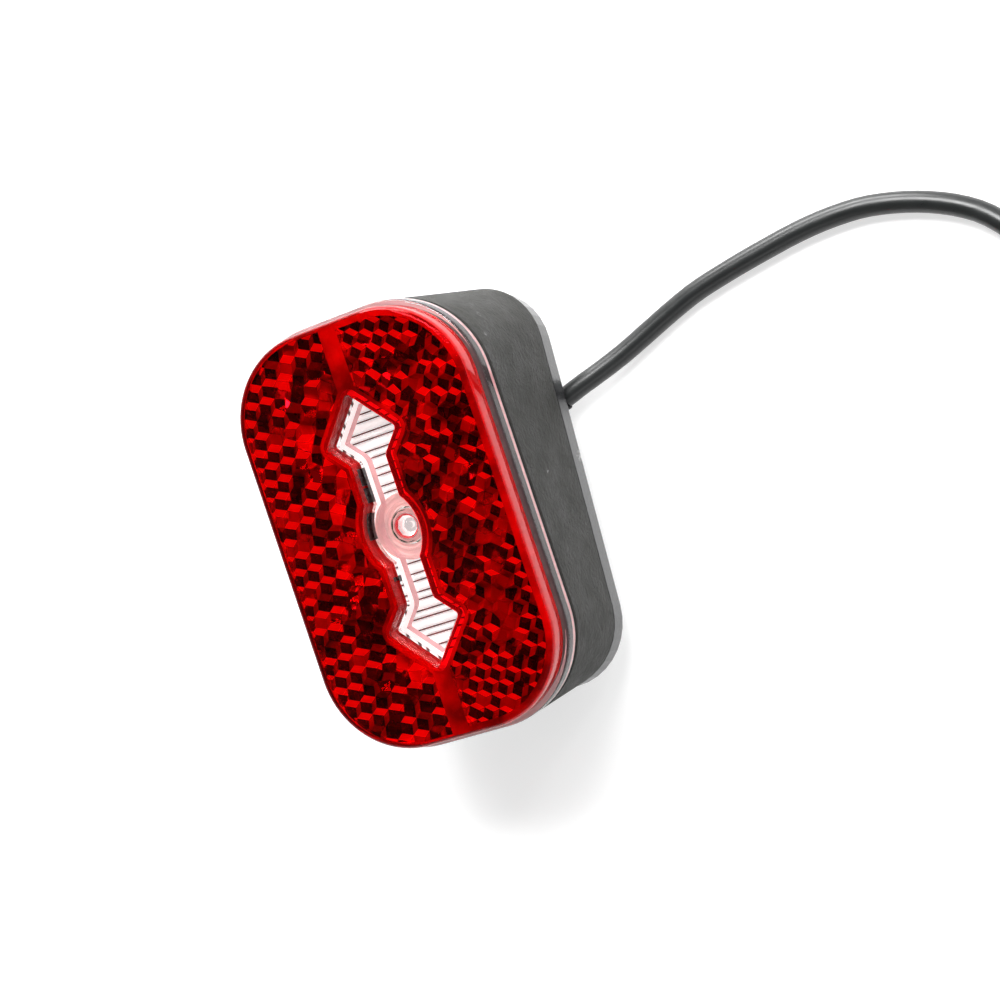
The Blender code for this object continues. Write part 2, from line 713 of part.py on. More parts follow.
def build_wires():
    """The lead's two cores, from the end of the gland up to the board's back."""
    well = Vector(GLAND_PLACE) - gland_direction() * GLAND_WELL
    across = Vector((-sin(CABLE_ANGLE), cos(CABLE_ANGLE), 0.0))
    board_back = BOARD_FRONT - BOARD_THICKNESS
    colours = (("wire_positive", 1, (0.5, 0.01, 0.01)), ("wire_negative", -1, (0.01, 0.01, 0.01)))
    for name, side, colour in colours:
        start = well + across * side * 0.0012
        end_local = Vector((side * 0.0025 - 0.001, -0.006 + side * 0.003, board_back - GAP))
        y = end_local.y * cos(WEDGE) - end_local.z * sin(WEDGE) + LENS_PLACE[1]
        z = end_local.y * sin(WEDGE) + end_local.z * cos(WEDGE) + LENS_PLACE[2]
        end = Vector((end_local.x, y, z - GAP))
        points = [
            Vector((start.x, start.y, 0.0047)),
            Vector((start.x, start.y, 0.0085)),
            Vector((start.x, start.y, 0.0125)),
            Vector((start.x * 0.8 + end.x * 0.2, start.y * 0.8 + end.y * 0.2, 0.0165)),
            Vector((end.x, end.y, 0.0265)),
            end,
        ]
        tube(name, points, 0.0007, (colour, 0.4))


def lead_points():
    start = Vector(GLAND_PLACE) + gland_direction() * (GLAND_OUTSIDE + GAP)
    return [start, *[Vector(point) for point in LEAD_ROUTE]]


def coil_outer():
    return COIL_INNER + COIL_BOTTOM_TURNS * CABLE_DIAMETER + CABLE_RADIUS


def coil_top():
    return COIL_LIFT + 2 * CABLE_DIAMETER


def build_coil():
    """Outer shape of the wound lead: three turns below, two above."""
    inner = COIL_INNER - CABLE_RADIUS
    edge = 0.0012
    low = COIL_LIFT
    high = coil_top()
    outer = coil_outer()
    step_in = outer - CABLE_DIAMETER
    profile = [
        (inner, low + edge),
        (inner + edge, low),
        (outer - edge, low),
        (outer, low + edge),
        (outer, low + CABLE_DIAMETER - edge),
        (outer - edge, low + CABLE_DIAMETER),
        (step_in, high - edge),
        (step_in - edge, high),
        (inner + edge, high),
        (inner, high - edge),
    ]
    ring = turned_ring(list(reversed(profile)), 40)
    make("cable_coil", ring, BLACK, None, (*COIL_CENTRE, 0.0))


def build_coil_tie():
    """A flat strap round the coil's section, with its small lock on top."""
    inner = COIL_INNER - CABLE_RADIUS - GAP
    outer = coil_outer() + GAP
    low = COIL_LIFT - GAP
    high = coil_top() + GAP
    shoulder = low + CABLE_DIAMETER + 2 * GAP
    step_in = outer - CABLE_DIAMETER
    inside = [(inner, low), (outer, low), (outer, shoulder), (step_in, high), (inner, high)]
    rings = []
    for y in (-TIE_WIDTH / 2, TIE_WIDTH / 2):
        rings.append([(x, y, z) for x, z in inside])
    outside = offset_outline(inside, TIE_THICKNESS)
    lifted = [(x, max(z, 0.00005)) for x, z in outside]
    for y in (TIE_WIDTH / 2, -TIE_WIDTH / 2):
        rings.append([(x, y, z) for x, z in lifted])
    strap = make("coil_tie", loft(rings, closed=True), RUBBER, None, (*COIL_CENTRE, 0.0))
    strap.rotation_euler = (0.0, 0.0, TIE_ANGLE)


def connector_start():
    heading = Vector((cos(CONNECTOR_HEADING), sin(CONNECTOR_HEADING), 0.0))
    angle = CONNECTOR_HEADING - pi / 2
    radius = coil_outer() + CONNECTOR_RADIUS + 0.001
    place = Vector((COIL_CENTRE[0] + radius * cos(angle), COIL_CENTRE[1] + radius * sin(angle), 0.0))
    return place + heading * 0.002, heading


def tail_points():
    """From the coil's outer side down to the surface and into the connector."""
    start, heading = connector_start()
    side = Vector((-heading.y, heading.x, 0.0))
    height = CONNECTOR_RADIUS + 0.0002
    end = start + heading * 0.012 + Vector((0, 0, height))
    first = start - heading * 0.010 - side * 0.0006 + Vector((0, 0, 0.0028))
    second = start - heading * 0.004 - side * 0.0003 + Vector((0, 0, 0.0032))
    third = start + heading * 0.003 + Vector((0, 0, 0.0042))
    return [first, second, third, start + heading * 0.008 + Vector((0, 0, height)), end]


def build_connector():
    """Two-pole waterproof plug on the lead's end."""
    start = tail_points()[-1]
    _, heading = connector_start()
    turn = lay_along(heading)
    place = start + heading * GAP
    r = CONNECTOR_RADIUS
    profile = [
        (CABLE_RADIUS + 0.0003, 0.0),
        (CABLE_RADIUS + 0.0009, 0.006),
        (r * 0.78, 0.0065),
        (r * 0.78, 0.0085),
        (r, 0.009),
        (r, 0.0145),
        (r * 0.8, 0.015),
        (r * 0.8, 0.0172),
        (r * 0.68, 0.0174),
        (r * 0.68, 0.0196),
        (r * 0.8, 0.0198),
        (r * 0.8, CONNECTOR_LENGTH - 0.0005),
        (r * 0.72, CONNECTOR_LENGTH),
    ]
    shell = make("connector_shell", turned(profile), BLACK, None, place, turn)
    bore = turned([(0.0026, 0.0225), (0.0026, CONNECTOR_LENGTH + 0.002)])
    cut(shell, helper("connector_bore", bore, None, place, turn))
    seal_profile = []
    thick = 0.00055
    for step in range(8):
        angle = 2 * pi * step / 8
        reach = r * 0.68 + GAP + thick * (1 + cos(angle))
        seal_profile.append((reach, 0.0185 + thick * sin(angle)))
    make("connector_seal", turned_ring(seal_profile), ((0.5, 0.05, 0.02), 0.5), None, place, turn)
    for number, side in enumerate((-1, 1), 1):
        pin = turned([(0.0005, 0.0), (0.0005, 0.0042), (0.0002, 0.0047)], 10)
        offset = Vector((-heading.y, heading.x, 0.0)) * side * 0.0012
        root = place + heading * (0.0225 + GAP) + offset
        make(f"connector_pin_{number}", pin, BRASS, None, root, turn)


def main():
    for thing in list(bpy.data.objects):
        bpy.data.objects.remove(thing, do_unlink=True)
    frame = bpy.data.objects.new("lens_frame", None)
    bpy.context.scene.collection.objects.link(frame)
    frame.location = LENS_PLACE
    frame.rotation_euler = (WEDGE, 0.0, 0.0)

    build_red_lens(frame)
    build_reflex_panels(frame)
    build_clear_lens(frame)
    build_lens_seal(frame)
    build_reflector_bed(frame)
    build_led(frame)
    build_board(frame)
    build_housing(frame)
    build_rear_cover()
    build_cover_seal()
    build_cover_screws()
    build_mounting()
    build_gland()
    build_wires()
    tube("cable_lead", lead_points(), CABLE_RADIUS, BLACK, 3)
    build_coil()
    build_coil_tie()
    tube("cable_tail", tail_points(), CABLE_RADIUS, BLACK, 3)
    build_connector()


main()
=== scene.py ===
"""Looks of the rear light: its red reflex lens, clear window, textured case and rubber lead.

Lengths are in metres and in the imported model's own frame: the light lies on its back, +Z points
out of the lens, +X is its width and +Y its length.
"""

import random
from math import atan2, cos, hypot, pi, radians, sin, sqrt, tan

import bmesh
import bpy
from mathutils import Matrix, Vector


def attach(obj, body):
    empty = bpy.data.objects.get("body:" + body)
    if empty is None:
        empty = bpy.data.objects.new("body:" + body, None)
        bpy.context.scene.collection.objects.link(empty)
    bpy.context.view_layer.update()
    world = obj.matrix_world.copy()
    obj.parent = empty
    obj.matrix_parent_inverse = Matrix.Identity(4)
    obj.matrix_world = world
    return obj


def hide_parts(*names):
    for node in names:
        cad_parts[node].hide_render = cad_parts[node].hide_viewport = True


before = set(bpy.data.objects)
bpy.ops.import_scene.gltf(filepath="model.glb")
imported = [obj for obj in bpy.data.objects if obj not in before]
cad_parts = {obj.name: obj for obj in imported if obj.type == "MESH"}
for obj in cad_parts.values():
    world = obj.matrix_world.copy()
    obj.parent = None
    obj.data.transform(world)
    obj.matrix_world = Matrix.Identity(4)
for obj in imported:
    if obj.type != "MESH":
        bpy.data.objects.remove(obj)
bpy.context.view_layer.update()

GAP = 0.0003  # clearance that neighbouring pieces keep
SIDE = 0.001  # a face whose middle is further from the light's long axis is on one side of it

# ---- the lens frame, tilted by the case's wedge ----------------------------------------------
WEDGE = radians(10)
CREASE_HEIGHT = 0.015
CASE_DEPTH = 0.0317
LENS_PLACE = Vector((0.0, -0.00305, CREASE_HEIGHT + CASE_DEPTH * cos(WEDGE)))
LENS_FRAME = Matrix.Translation(LENS_PLACE) @ Matrix.Rotation(WEDGE, 4, "X")

LENS_WIDTH, LENS_LENGTH, LENS_CORNER = 0.0485, 0.080, 0.017
LENS_FACE = 0.0035
LENS_BASE = -0.0016
LENS_PLATE_BACK = 0.0019
LENS_WALL = 0.0009

CASE_WIDTH, CASE_LENGTH, CASE_CORNER = 0.0505, 0.082, 0.018
CASE_WALL = 0.002
CASE_DRAFT = 0.0009
CREASE_CORNER = 0.013
CASE_FRONT = -0.0065

RIM_FRONT = LENS_BASE - GAP
RIM_BACK = -0.0056
RIM_WALL = 0.0016

WINDOW_TIP = 0.0265
WINDOW_SHOULDER = (0.0075, 0.018)
WINDOW_NECK = (0.0037, 0.0138)
WINDOW_BULGE = 0.00575
WINDOW_BULGE_END = 0.0058
COLLAR_WALL = 0.0012

LEFT_PITCH, RIGHT_PITCH = 0.0034, 0.0029  # from one cube corner to the next across the lens
PRISM_BACK = -0.0013
RIGHT_TURN = radians(-20)  # the right panel's rows against the left panel's
PRISM_SHAKE = 0.00034  # how far a corner strays in the unruly middle
PANEL_BAND = 0.0036
WALL_SHADE_END = 0.008  # left of it, the lens wall's inside gets a painted deep shade instead of the painted lit red
COLLAR_BACK = LENS_PLATE_BACK + 0.0008
FACE_ROUND, FACE_DROP = 0.0012, 0.0015  # how far the rim's rounding goes in and down

BED_FRONT, BED_FLOOR, BED_BACK = -0.0037, -0.0062, -0.0088
RIB_RISE = 0.0002
LED_DISC_RADIUS, LED_HOLE = 0.0065, 0.0036
LED_DISC_FRONT = -0.0042
BOARD_FRONT = -0.0104
LED_TOP = -0.0016
LED_DOME, LED_FLANGE = 0.0024, 0.0033

CABLE_DIAMETER = 0.0042
CABLE_RADIUS = CABLE_DIAMETER / 2
CABLE_ANGLE = radians(21)
GLAND_PLACE = Vector((0.012, 0.0144, 0.0049))
GLAND_STANDOFF, GLAND_END, GLAND_INSIDE = 0.0018, 0.0105, 0.0065
GLAND_SOCKET = 0.0028

COIL_CENTRE = Vector((0.1515, 0.0225, 0.0))
COIL_INNER = 0.0174
COIL_TURNS = 3
COIL_LIFT = 0.0009
COIL_START = radians(-140)
STEPS_PER_TURN = 36
COIL_TOP_STEPS = 59
TAIL_BEND = 0.022
COIL_OUTER = COIL_INNER + COIL_TURNS * CABLE_DIAMETER + CABLE_RADIUS
TIE_ANGLE = radians(35)
TIE_WIDTH, TIE_THICKNESS = 0.005, 0.0006

CONNECTOR_HEADING = radians(-8)
CONNECTOR_RADIUS, CONNECTOR_LENGTH = 0.0048, 0.028

# The lead's free stretch over the surface, with the same points as the CAD's lead.
LEAD_ROUTE = [
    (0.0262, 0.0198, 0.0044),
    (0.0305, 0.0213, 0.0037),
    (0.0360, 0.0234, 0.0029),
    (0.0418, 0.0259, 0.0024),
    (0.0476, 0.0283, 0.0022),
    (0.0533, 0.0303, 0.0022),
    (0.0588, 0.0316, 0.0022),
    (0.0643, 0.0327, 0.0022),
    (0.0696, 0.0336, 0.0022),
    (0.0747, 0.0344, 0.0022),
    (0.0799, 0.0349, 0.0022),
    (0.0848, 0.0350, 0.0022),
    (0.0895, 0.0347, 0.0022),
    (0.0940, 0.0338, 0.0022),
    (0.0984, 0.0325, 0.0022),
    (0.1026, 0.0308, 0.0022),
    (0.1067, 0.0286, 0.0022),
    (0.1105, 0.0258, 0.0023),
    (0.1140, 0.0219, 0.0025),
    (0.1172, 0.0174, 0.0028),
]


# ---- camera, floor and light -----------------------------------------------------------------
CAMERA_PLACE = (0.1676, -0.0555, 0.3715)
CAMERA_TURNS = (1.506, 25.476, -15.933)  # degrees about X, Y and Z


def make_camera():
    data = bpy.data.cameras.new("camera")
    data.lens = 72
    data.sensor_width = 36
    data.clip_start, data.clip_end = 0.01, 20
    camera = bpy.data.objects.new("camera", data)
    bpy.context.scene.collection.objects.link(camera)
    camera.location = CAMERA_PLACE
    camera.rotation_euler = [radians(turn) for turn in CAMERA_TURNS]
    bpy.context.scene.camera = camera


def area_light(name, place, size, power, aim=(0.03, 0.0, 0.03)):
    data = bpy.data.lights.new(name, "AREA")
    data.shape = "RECTANGLE"
    data.size, data.size_y = size
    data.energy = power
    light = bpy.data.objects.new(name, data)
    bpy.context.scene.collection.objects.link(light)
    light.location = place
    light.rotation_euler = (Vector(aim) - Vector(place)).to_track_quat("-Z", "Y").to_euler()


def make_world():
    """A white dome, brighter towards the horizon than overhead."""
    world = bpy.data.worlds.new("studio")
    bpy.context.scene.world = world
    world.use_nodes = True
    tree = world.node_tree
    direction = tree.nodes.new("ShaderNodeTexCoord")
    split = tree.nodes.new("ShaderNodeSeparateXYZ")
    dome = tree.nodes.new("ShaderNodeMapRange")
    dome.interpolation_type = "SMOOTHSTEP"
    dome.inputs["From Min"].default_value = 0.12
    dome.inputs["From Max"].default_value = 0.75
    dome.inputs["To Min"].default_value = 0.62
    dome.inputs["To Max"].default_value = 0.16
    tree.links.new(direction.outputs["Generated"], split.inputs["Vector"])
    tree.links.new(split.outputs["Z"], dome.inputs["Value"])
    tree.links.new(dome.outputs["Result"], tree.nodes["Background"].inputs["Strength"])
    tree.nodes["Background"].inputs["Color"].default_value = (1.0, 1.0, 1.0, 1.0)


def make_lights():
    area_light("key", (0.14, 0.42, 0.72), (0.5, 0.36), 14.5)
    area_light("spark", (0.52, 0.30, 0.62), (0.07, 0.04), 0.9)
    area_light("side", (0.68, 0.42, 0.42), (0.5, 0.09), 2.4)
    area_light("front", (0.15, -0.72, 0.5), (0.6, 0.35), 0.9)
    area_light("back", (-0.05, 0.75, 0.28), (0.5, 0.3), 9.0, aim=(0.0, 0.0, 0.03))


def make_floor():
    body = bmesh.new()
    bmesh.ops.create_grid(body, x_segments=1, y_segments=1, size=8.0)
    mesh = bpy.data.meshes.new("studio_floor")
    body.to_mesh(mesh)
    body.free()
    ground = bpy.data.objects.new("studio_floor", mesh)
    bpy.context.scene.collection.objects.link(ground)
    look = Surface("floor_paint", (0.45, 0.45, 0.45), 0.6)
    mesh.materials.append(glowing(look.material, (1.0, 1.0, 1.0), 0.62))


# ---- materials -------------------------------------------------------------------------------
class Surface:
    """A Principled material with short ways to add procedural detail."""

    def __init__(self, name, colour, roughness, metallic=0.0, **sockets):
        self.material = bpy.data.materials.new(name)
        self.material.use_nodes = True
        self.tree = self.material.node_tree
        self.shader = self.tree.nodes["Principled BSDF"]
        self.set("Base Color", (*colour, 1.0))
        self.set("Roughness", roughness)
        self.set("Metallic", metallic)
        for socket, value in sockets.items():
            self.set(socket.replace("_", " "), value)
        self.coordinates = None

    def set(self, socket, value):
        self.shader.inputs[socket].default_value = value

    def node(self, kind, **settings):
        made = self.tree.nodes.new(kind)
        for key, value in settings.items():
            setattr(made, key, value)
        return made

    def link(self, source, target):
        self.tree.links.new(source, target)

    def place(self):
        if self.coordinates is None:
            self.coordinates = self.node("ShaderNodeTexCoord").outputs["Object"]
        return self.coordinates

    def noise(self, scale, detail=3.0, roughness=0.55, distortion=0.0, stretch=(1, 1, 1)):
        mapping = self.node("ShaderNodeMapping")
        mapping.inputs["Scale"].default_value = stretch
        self.link(self.place(), mapping.inputs["Vector"])
        texture = self.node("ShaderNodeTexNoise")
        texture.inputs["Scale"].default_value = scale
        texture.inputs["Detail"].default_value = detail
        texture.inputs["Roughness"].default_value = roughness
        texture.inputs["Distortion"].default_value = distortion
        self.link(mapping.outputs["Vector"], texture.inputs["Vector"])
        return texture.outputs["Fac"]

    def ramp(self, source, stops):
        ramp = self.node("ShaderNodeValToRGB")
        elements = ramp.color_ramp.elements
        while len(elements) < len(stops):
            elements.new(0.5)
        for element, (position, colour) in zip(elements, stops):
            element.position = position
            element.color = (*colour, 1.0)
        self.link(source, ramp.inputs["Fac"])
        return ramp.outputs["Color"]

    def map(self, source, low, high, to_low, to_high):
        node = self.node("ShaderNodeMapRange")
        node.inputs["From Min"].default_value = low
        node.inputs["From Max"].default_value = high
        node.inputs["To Min"].default_value = to_low
        node.inputs["To Max"].default_value = to_high
        self.link(source, node.inputs["Value"])
        return node.outputs["Result"]

    def colour(self, source, stops):
        self.link(self.ramp(source, stops), self.shader.inputs["Base Color"])

    def roughness(self, source, low, high, rough_low, rough_high):
        mapped = self.map(source, low, high, rough_low, rough_high)
        self.link(mapped, self.shader.inputs["Roughness"])

    def bump(self, source, height, strength=1.0):
        bump = self.node("ShaderNodeBump")
        bump.inputs["Strength"].default_value = strength
        bump.inputs["Distance"].default_value = height
        self.link(source, bump.inputs["Height"])
        previous = self.shader.inputs["Normal"]
        if previous.is_linked:
            self.link(previous.links[0].from_socket, bump.inputs["Normal"])
        self.link(bump.outputs["Normal"], self.shader.inputs["Normal"])


def red_acrylic():
    look = Surface("red_acrylic", (0.96, 0.001, 0.003), 0.0, IOR=1.49, Transmission_Weight=1.0)
    look.set("Specular Tint", (0.5, 0.03, 0.05, 1.0))
    look.roughness(look.noise(900, 4, 0.6), 0.3, 0.75, 0.0, 0.03)
    look.bump(look.noise(140, 2), 0.00002, 0.5)
    return look.material


def clear_acrylic(name="clear_acrylic", tint=(0.97, 0.96, 0.96)):
    look = Surface(name, tint, 0.0, IOR=1.49, Transmission_Weight=1.0)
    look.set("Specular Tint", (0.45, 0.45, 0.45, 1.0))
    look.roughness(look.noise(1200, 3), 0.35, 0.8, 0.0, 0.06)
    return look.material


def glowing(material, colour, strength):
    """Give a material a glow: on the lens's facets, rim, bed, disc and lamp core it is painted light
    standing in for light gathered inside the lens; on the floor it is the floor's own even white.
    """
    shader = material.node_tree.nodes["Principled BSDF"]
    shader.inputs["Emission Color"].default_value = (*colour, 1.0)
    shader.inputs["Emission Strength"].default_value = strength
    return material


MIX_FIRST, MIX_SECOND, MIX_RESULT = 6, 7, 2  # a Mix node's colour sockets, whose names repeat


def case_plastic(name, dark, light, grain=0.0006, rough=(0.42, 0.6), specular=0.12):
    """Dark moulded plastic with spark-eroded grain, faint handling marks and fine scratches."""
    look = Surface(name, light, 0.5)
    tone = look.ramp(look.noise(420, 6, 0.75), [(0.25, dark), (0.75, light)])
    scuffs = look.node("ShaderNodeMath", operation="MULTIPLY")
    look.link(look.map(look.noise(90, 2), 0.68, 0.72, 0.0, 1.0), scuffs.inputs[0])
    look.link(look.map(look.noise(1500, 4, 0.7), 0.52, 0.58, 0.0, 1.0), scuffs.inputs[1])
    worn = look.node("ShaderNodeMix", data_type="RGBA")
    look.link(scuffs.outputs["Value"], worn.inputs["Factor"])
    look.link(tone, worn.inputs[MIX_FIRST])
    worn.inputs[MIX_SECOND].default_value = (0.4, 0.4, 0.39, 1.0)
    look.link(worn.outputs[MIX_RESULT], look.shader.inputs["Base Color"])
    look.roughness(look.noise(160, 5, 0.65), 0.3, 0.7, *rough)
    look.set("Specular IOR Level", specular)
    look.bump(look.noise(1150, 5, 0.7), grain, 1.0)
    scratches = look.noise(700, 2, 0.5, 0.4, (0.08, 1.0, 0.35))
    look.bump(look.map(scratches, 0.74, 0.78, 0.0, 1.0), grain, 0.2)
    return look.material


def rubber(name, dark, light, rough=(0.5, 0.72), stretch=(1, 1, 1), specular=0.22):
    look = Surface(name, light, 0.6)
    look.colour(look.noise(60, 4, 0.6, 0.0, stretch), [(0.3, dark), (0.72, light)])
    look.roughness(look.noise(220, 4, 0.6), 0.3, 0.7, *rough)
    look.set("Specular IOR Level", specular)
    look.bump(look.noise(1800, 3, 0.6), 0.000015, 0.5)
    return look.material


def metal(name, colour, rough=(0.22, 0.42)):
    look = Surface(name, colour, 0.3, 1.0)
    darker = tuple(0.8 * c for c in colour)
    look.colour(look.noise(300, 4), [(0.35, darker), (0.7, colour)])
    look.roughness(look.noise(700, 5, 0.7), 0.3, 0.7, *rough)
    return look.material


def patchy_red_painted_shade():
    """Painted half shade: a darker copy of the lens red for the smooth lens between its prisms, darker
    still in places.
    """
    look = Surface("patchy_red_painted_shade", (0.45, 0.001, 0.001), 0.25)
    patches = look.noise(95, 2, 0.5)
    look.colour(patches, [(0.38, (0.14, 0.0005, 0.0005)), (0.62, (0.56, 0.001, 0.001))])
    look.roughness(look.noise(600, 3), 0.3, 0.7, 0.18, 0.34)
    return look.material


def white_reflector():
    look = Surface("white_reflector", (0.9, 0.88, 0.88), 0.22, Coat_Weight=0.4)
    look.colour(look.noise(120, 3), [(0.3, (0.78, 0.76, 0.75)), (0.7, (0.9, 0.89, 0.88))])
    look.roughness(look.noise(500, 3), 0.3, 0.7, 0.16, 0.3)
    return look.material


def moulded(name, colour, rough=(0.3, 0.45)):
    """Plain moulded plastic of one colour with slight tone and gloss variation."""
    look = Surface(name, colour, 0.4)
    darker = tuple(0.8 * c for c in colour)
    look.colour(look.noise(250, 3), [(0.3, darker), (0.7, colour)])
    look.roughness(look.noise(600, 4), 0.3, 0.7, *rough)
    return look.material


# ---- outlines --------------------------------------------------------------------------------
def arc(centre, radius, start, end, steps):
    points = []
    for step in range(steps + 1):
        angle = radians(start + (end - start) * step / steps)
        points.append((centre[0] + radius * cos(angle), centre[1] + radius * sin(angle)))
    return points


def rounded_outline(width, length, corner, steps=20):
    points = []
    for quarter, (side_x, side_y) in enumerate(((1, 1), (-1, 1), (-1, -1), (1, -1))):
        centre = (side_x * (width / 2 - corner), side_y * (length / 2 - corner))
        points += arc(centre, corner, 90 * quarter, 90 * quarter + 90, steps)
    return points


def inset_outline(width, length, corner, inset, steps=20):
    return rounded_outline(width - 2 * inset, length - 2 * inset, corner - inset, steps)


def fillet(before, corner, after, radius, steps):
    to_before = (Vector(before) - Vector(corner)).normalized()
    to_after = (Vector(after) - Vector(corner)).normalized()
    half = to_before.angle(to_after) / 2
    middle = (to_before + to_after).normalized()
    centre = Vector(corner) + middle * (radius / sin(half))
    first = Vector(corner) + to_before * (radius / tan(half)) - centre
    last = Vector(corner) + to_after * (radius / tan(half)) - centre
    start = atan2(first.y, first.x)
    sweep = (atan2(last.y, last.x) - start + pi) % (2 * pi) - pi
    points = []
    for step in range(steps + 1):
        angle = start + sweep * step / steps
        points.append((centre.x + radius * cos(angle), centre.y + radius * sin(angle)))
    return points


def offset_outline(points, distance):
    """The closed counter-clockwise outline with every side moved out by distance."""
    moved = []
    count = len(points)
    for i in range(count):
        before, here, after = (Vector(points[(i + k) % count]) for k in (-1, 0, 1))
        side_in = (here - before).normalized()
        side_out = (after - here).normalized()
        normal_in = Vector((side_in.y, -side_in.x))
        normal_out = Vector((side_out.y, -side_out.x))
        mitre = (normal_in + normal_out) / (1 + normal_in.dot(normal_out))
        moved.append(tuple(here + mitre * distance))
    return moved


def window_outline(offset=0.0):
    """The window moved out by offset: two arrow-headed wings on a neck that bulges at the LED."""
    swell = WINDOW_BULGE - WINDOW_NECK[0]
    bow = (WINDOW_BULGE_END**2 + swell**2) / (2 * swell)
    half_angle = atan2(WINDOW_BULGE_END, bow - swell) * 180 / pi
    neck_round = max(0.0015 - offset, 0.0004)
    tip_round = max(0.0008 + offset, 0.0003)
    shoulder_x, shoulder_y = WINDOW_SHOULDER
    neck_x, neck_y = WINDOW_NECK
    corners = []
    for side in (1, -1):
        turn = 0 if side == 1 else 180
        centre = (side * (WINDOW_BULGE - bow), 0.0)
        for point in arc(centre, bow, turn - half_angle, turn + half_angle, 12):
            corners.append((point, 0.0))
        corners.append(((side * neck_x, side * neck_y), neck_round))
        corners.append(((side * shoulder_x, side * shoulder_y), tip_round))
        corners.append(((0.0, side * WINDOW_TIP), tip_round))
        corners.append(((-side * shoulder_x, side * shoulder_y), tip_round))
        corners.append(((-side * neck_x, side * neck_y), neck_round))
    sharp = offset_outline([point for point, _ in corners], offset)
    points = []
    for i, (_, radius) in enumerate(corners):
        if radius:
            points += fillet(sharp[i - 1], sharp[i], sharp[(i + 1) % len(sharp)], radius, 6)
        else:
            points.append(sharp[i])
    return points


# ---- solids ----------------------------------------------------------------------------------
def at_height(outline, z):
    return [(x, y, z) for x, y in outline]


def circle(radius, z, steps, centre=(0.0, 0.0)):
    ring = []
    for step in range(steps):
        angle = 2 * pi * step / steps
        ring.append((centre[0] + radius * cos(angle), centre[1] + radius * sin(angle), z))
    return ring


def loft(rings, closed=False, looks=()):
    """Skin between rings of equal length, capped at both ends or closed on itself.

    Looks gives the first bands between rings their material numbers.
    """
    body = bmesh.new()
    loops = [[body.verts.new(point) for point in ring] for ring in rings]
    pairs = list(zip(loops, loops[1:]))
    if closed:
        pairs.append((loops[-1], loops[0]))
    for band, (low, high) in enumerate(pairs):
        for i in range(len(low)):
            j = (i + 1) % len(low)
            face = body.faces.new((low[i], low[j], high[j], high[i]))
            face.material_index = looks[band] if band < len(looks) else 0
    if not closed:
        body.faces.new(reversed(loops[0]))
        body.faces.new(loops[-1])
    bmesh.ops.recalc_face_normals(body, faces=body.faces[:])
    return body


def prism(outline, low, high, look=0):
    return loft([at_height(outline, low), at_height(outline, high)], looks=(look,))


def turned(profile, steps=48):
    return loft([circle(radius, height, steps) for radius, height in profile])


def turned_ring(profile, steps=48):
    return loft([circle(radius, height, steps) for radius, height in profile], closed=True)


def as_object(name, body, material=None, matrix=None, sharp=35):
    """Make a body into an object; material is one material, a list of them or nothing."""
    mesh = bpy.data.meshes.new(name)
    body.to_mesh(mesh)
    body.free()
    if matrix is not None:
        mesh.transform(matrix)
    mesh.shade_smooth()
    mesh.set_sharp_from_angle(angle=radians(sharp))
    thing = bpy.data.objects.new(name, mesh)
    bpy.context.scene.collection.objects.link(thing)
    for each in material if isinstance(material, list) else [material]:
        if each is not None:
            mesh.materials.append(each)
    return thing


def carve(target, operation, body, matrix=None):
    """Apply one Boolean with a temporary body, and leave nothing of it behind."""
    other = as_object("carving_tool", body, None, matrix)
    step = target.modifiers.new("carve", "BOOLEAN")
    step.operation = operation
    step.solver = "EXACT"
    step.object = other
    freeze(target)
    mesh = other.data
    bpy.data.objects.remove(other, do_unlink=True)
    bpy.data.meshes.remove(mesh)


def body_of(thing):
    """Take a temporary object's mesh as a body, and remove the object."""
    body = bmesh.new()
    body.from_mesh(thing.data)
    bpy.data.objects.remove(thing, do_unlink=True)
    return body


def settle(target, matrix, sharp):
    """Put a carved piece in its place and shade it smooth but for edges over sharp degrees."""
    target.data.transform(matrix)
    target.data.shade_smooth()
    target.data.set_sharp_from_angle(angle=radians(sharp))


def freeze(target):
    """Replace a piece's mesh with what its modifiers make of it."""
    depsgraph = bpy.context.evaluated_depsgraph_get()
    made = bpy.data.meshes.new_from_object(target.evaluated_get(depsgraph))
    old = target.data
    target.modifiers.clear()
    target.data = made
    bpy.data.meshes.remove(old)


def finish_piece(piece, slot, *nodes):
    """Let a piece ride on the body and stand for its CAD nodes."""
    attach(piece, "root")
    if nodes:
        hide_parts(*nodes)
    return piece


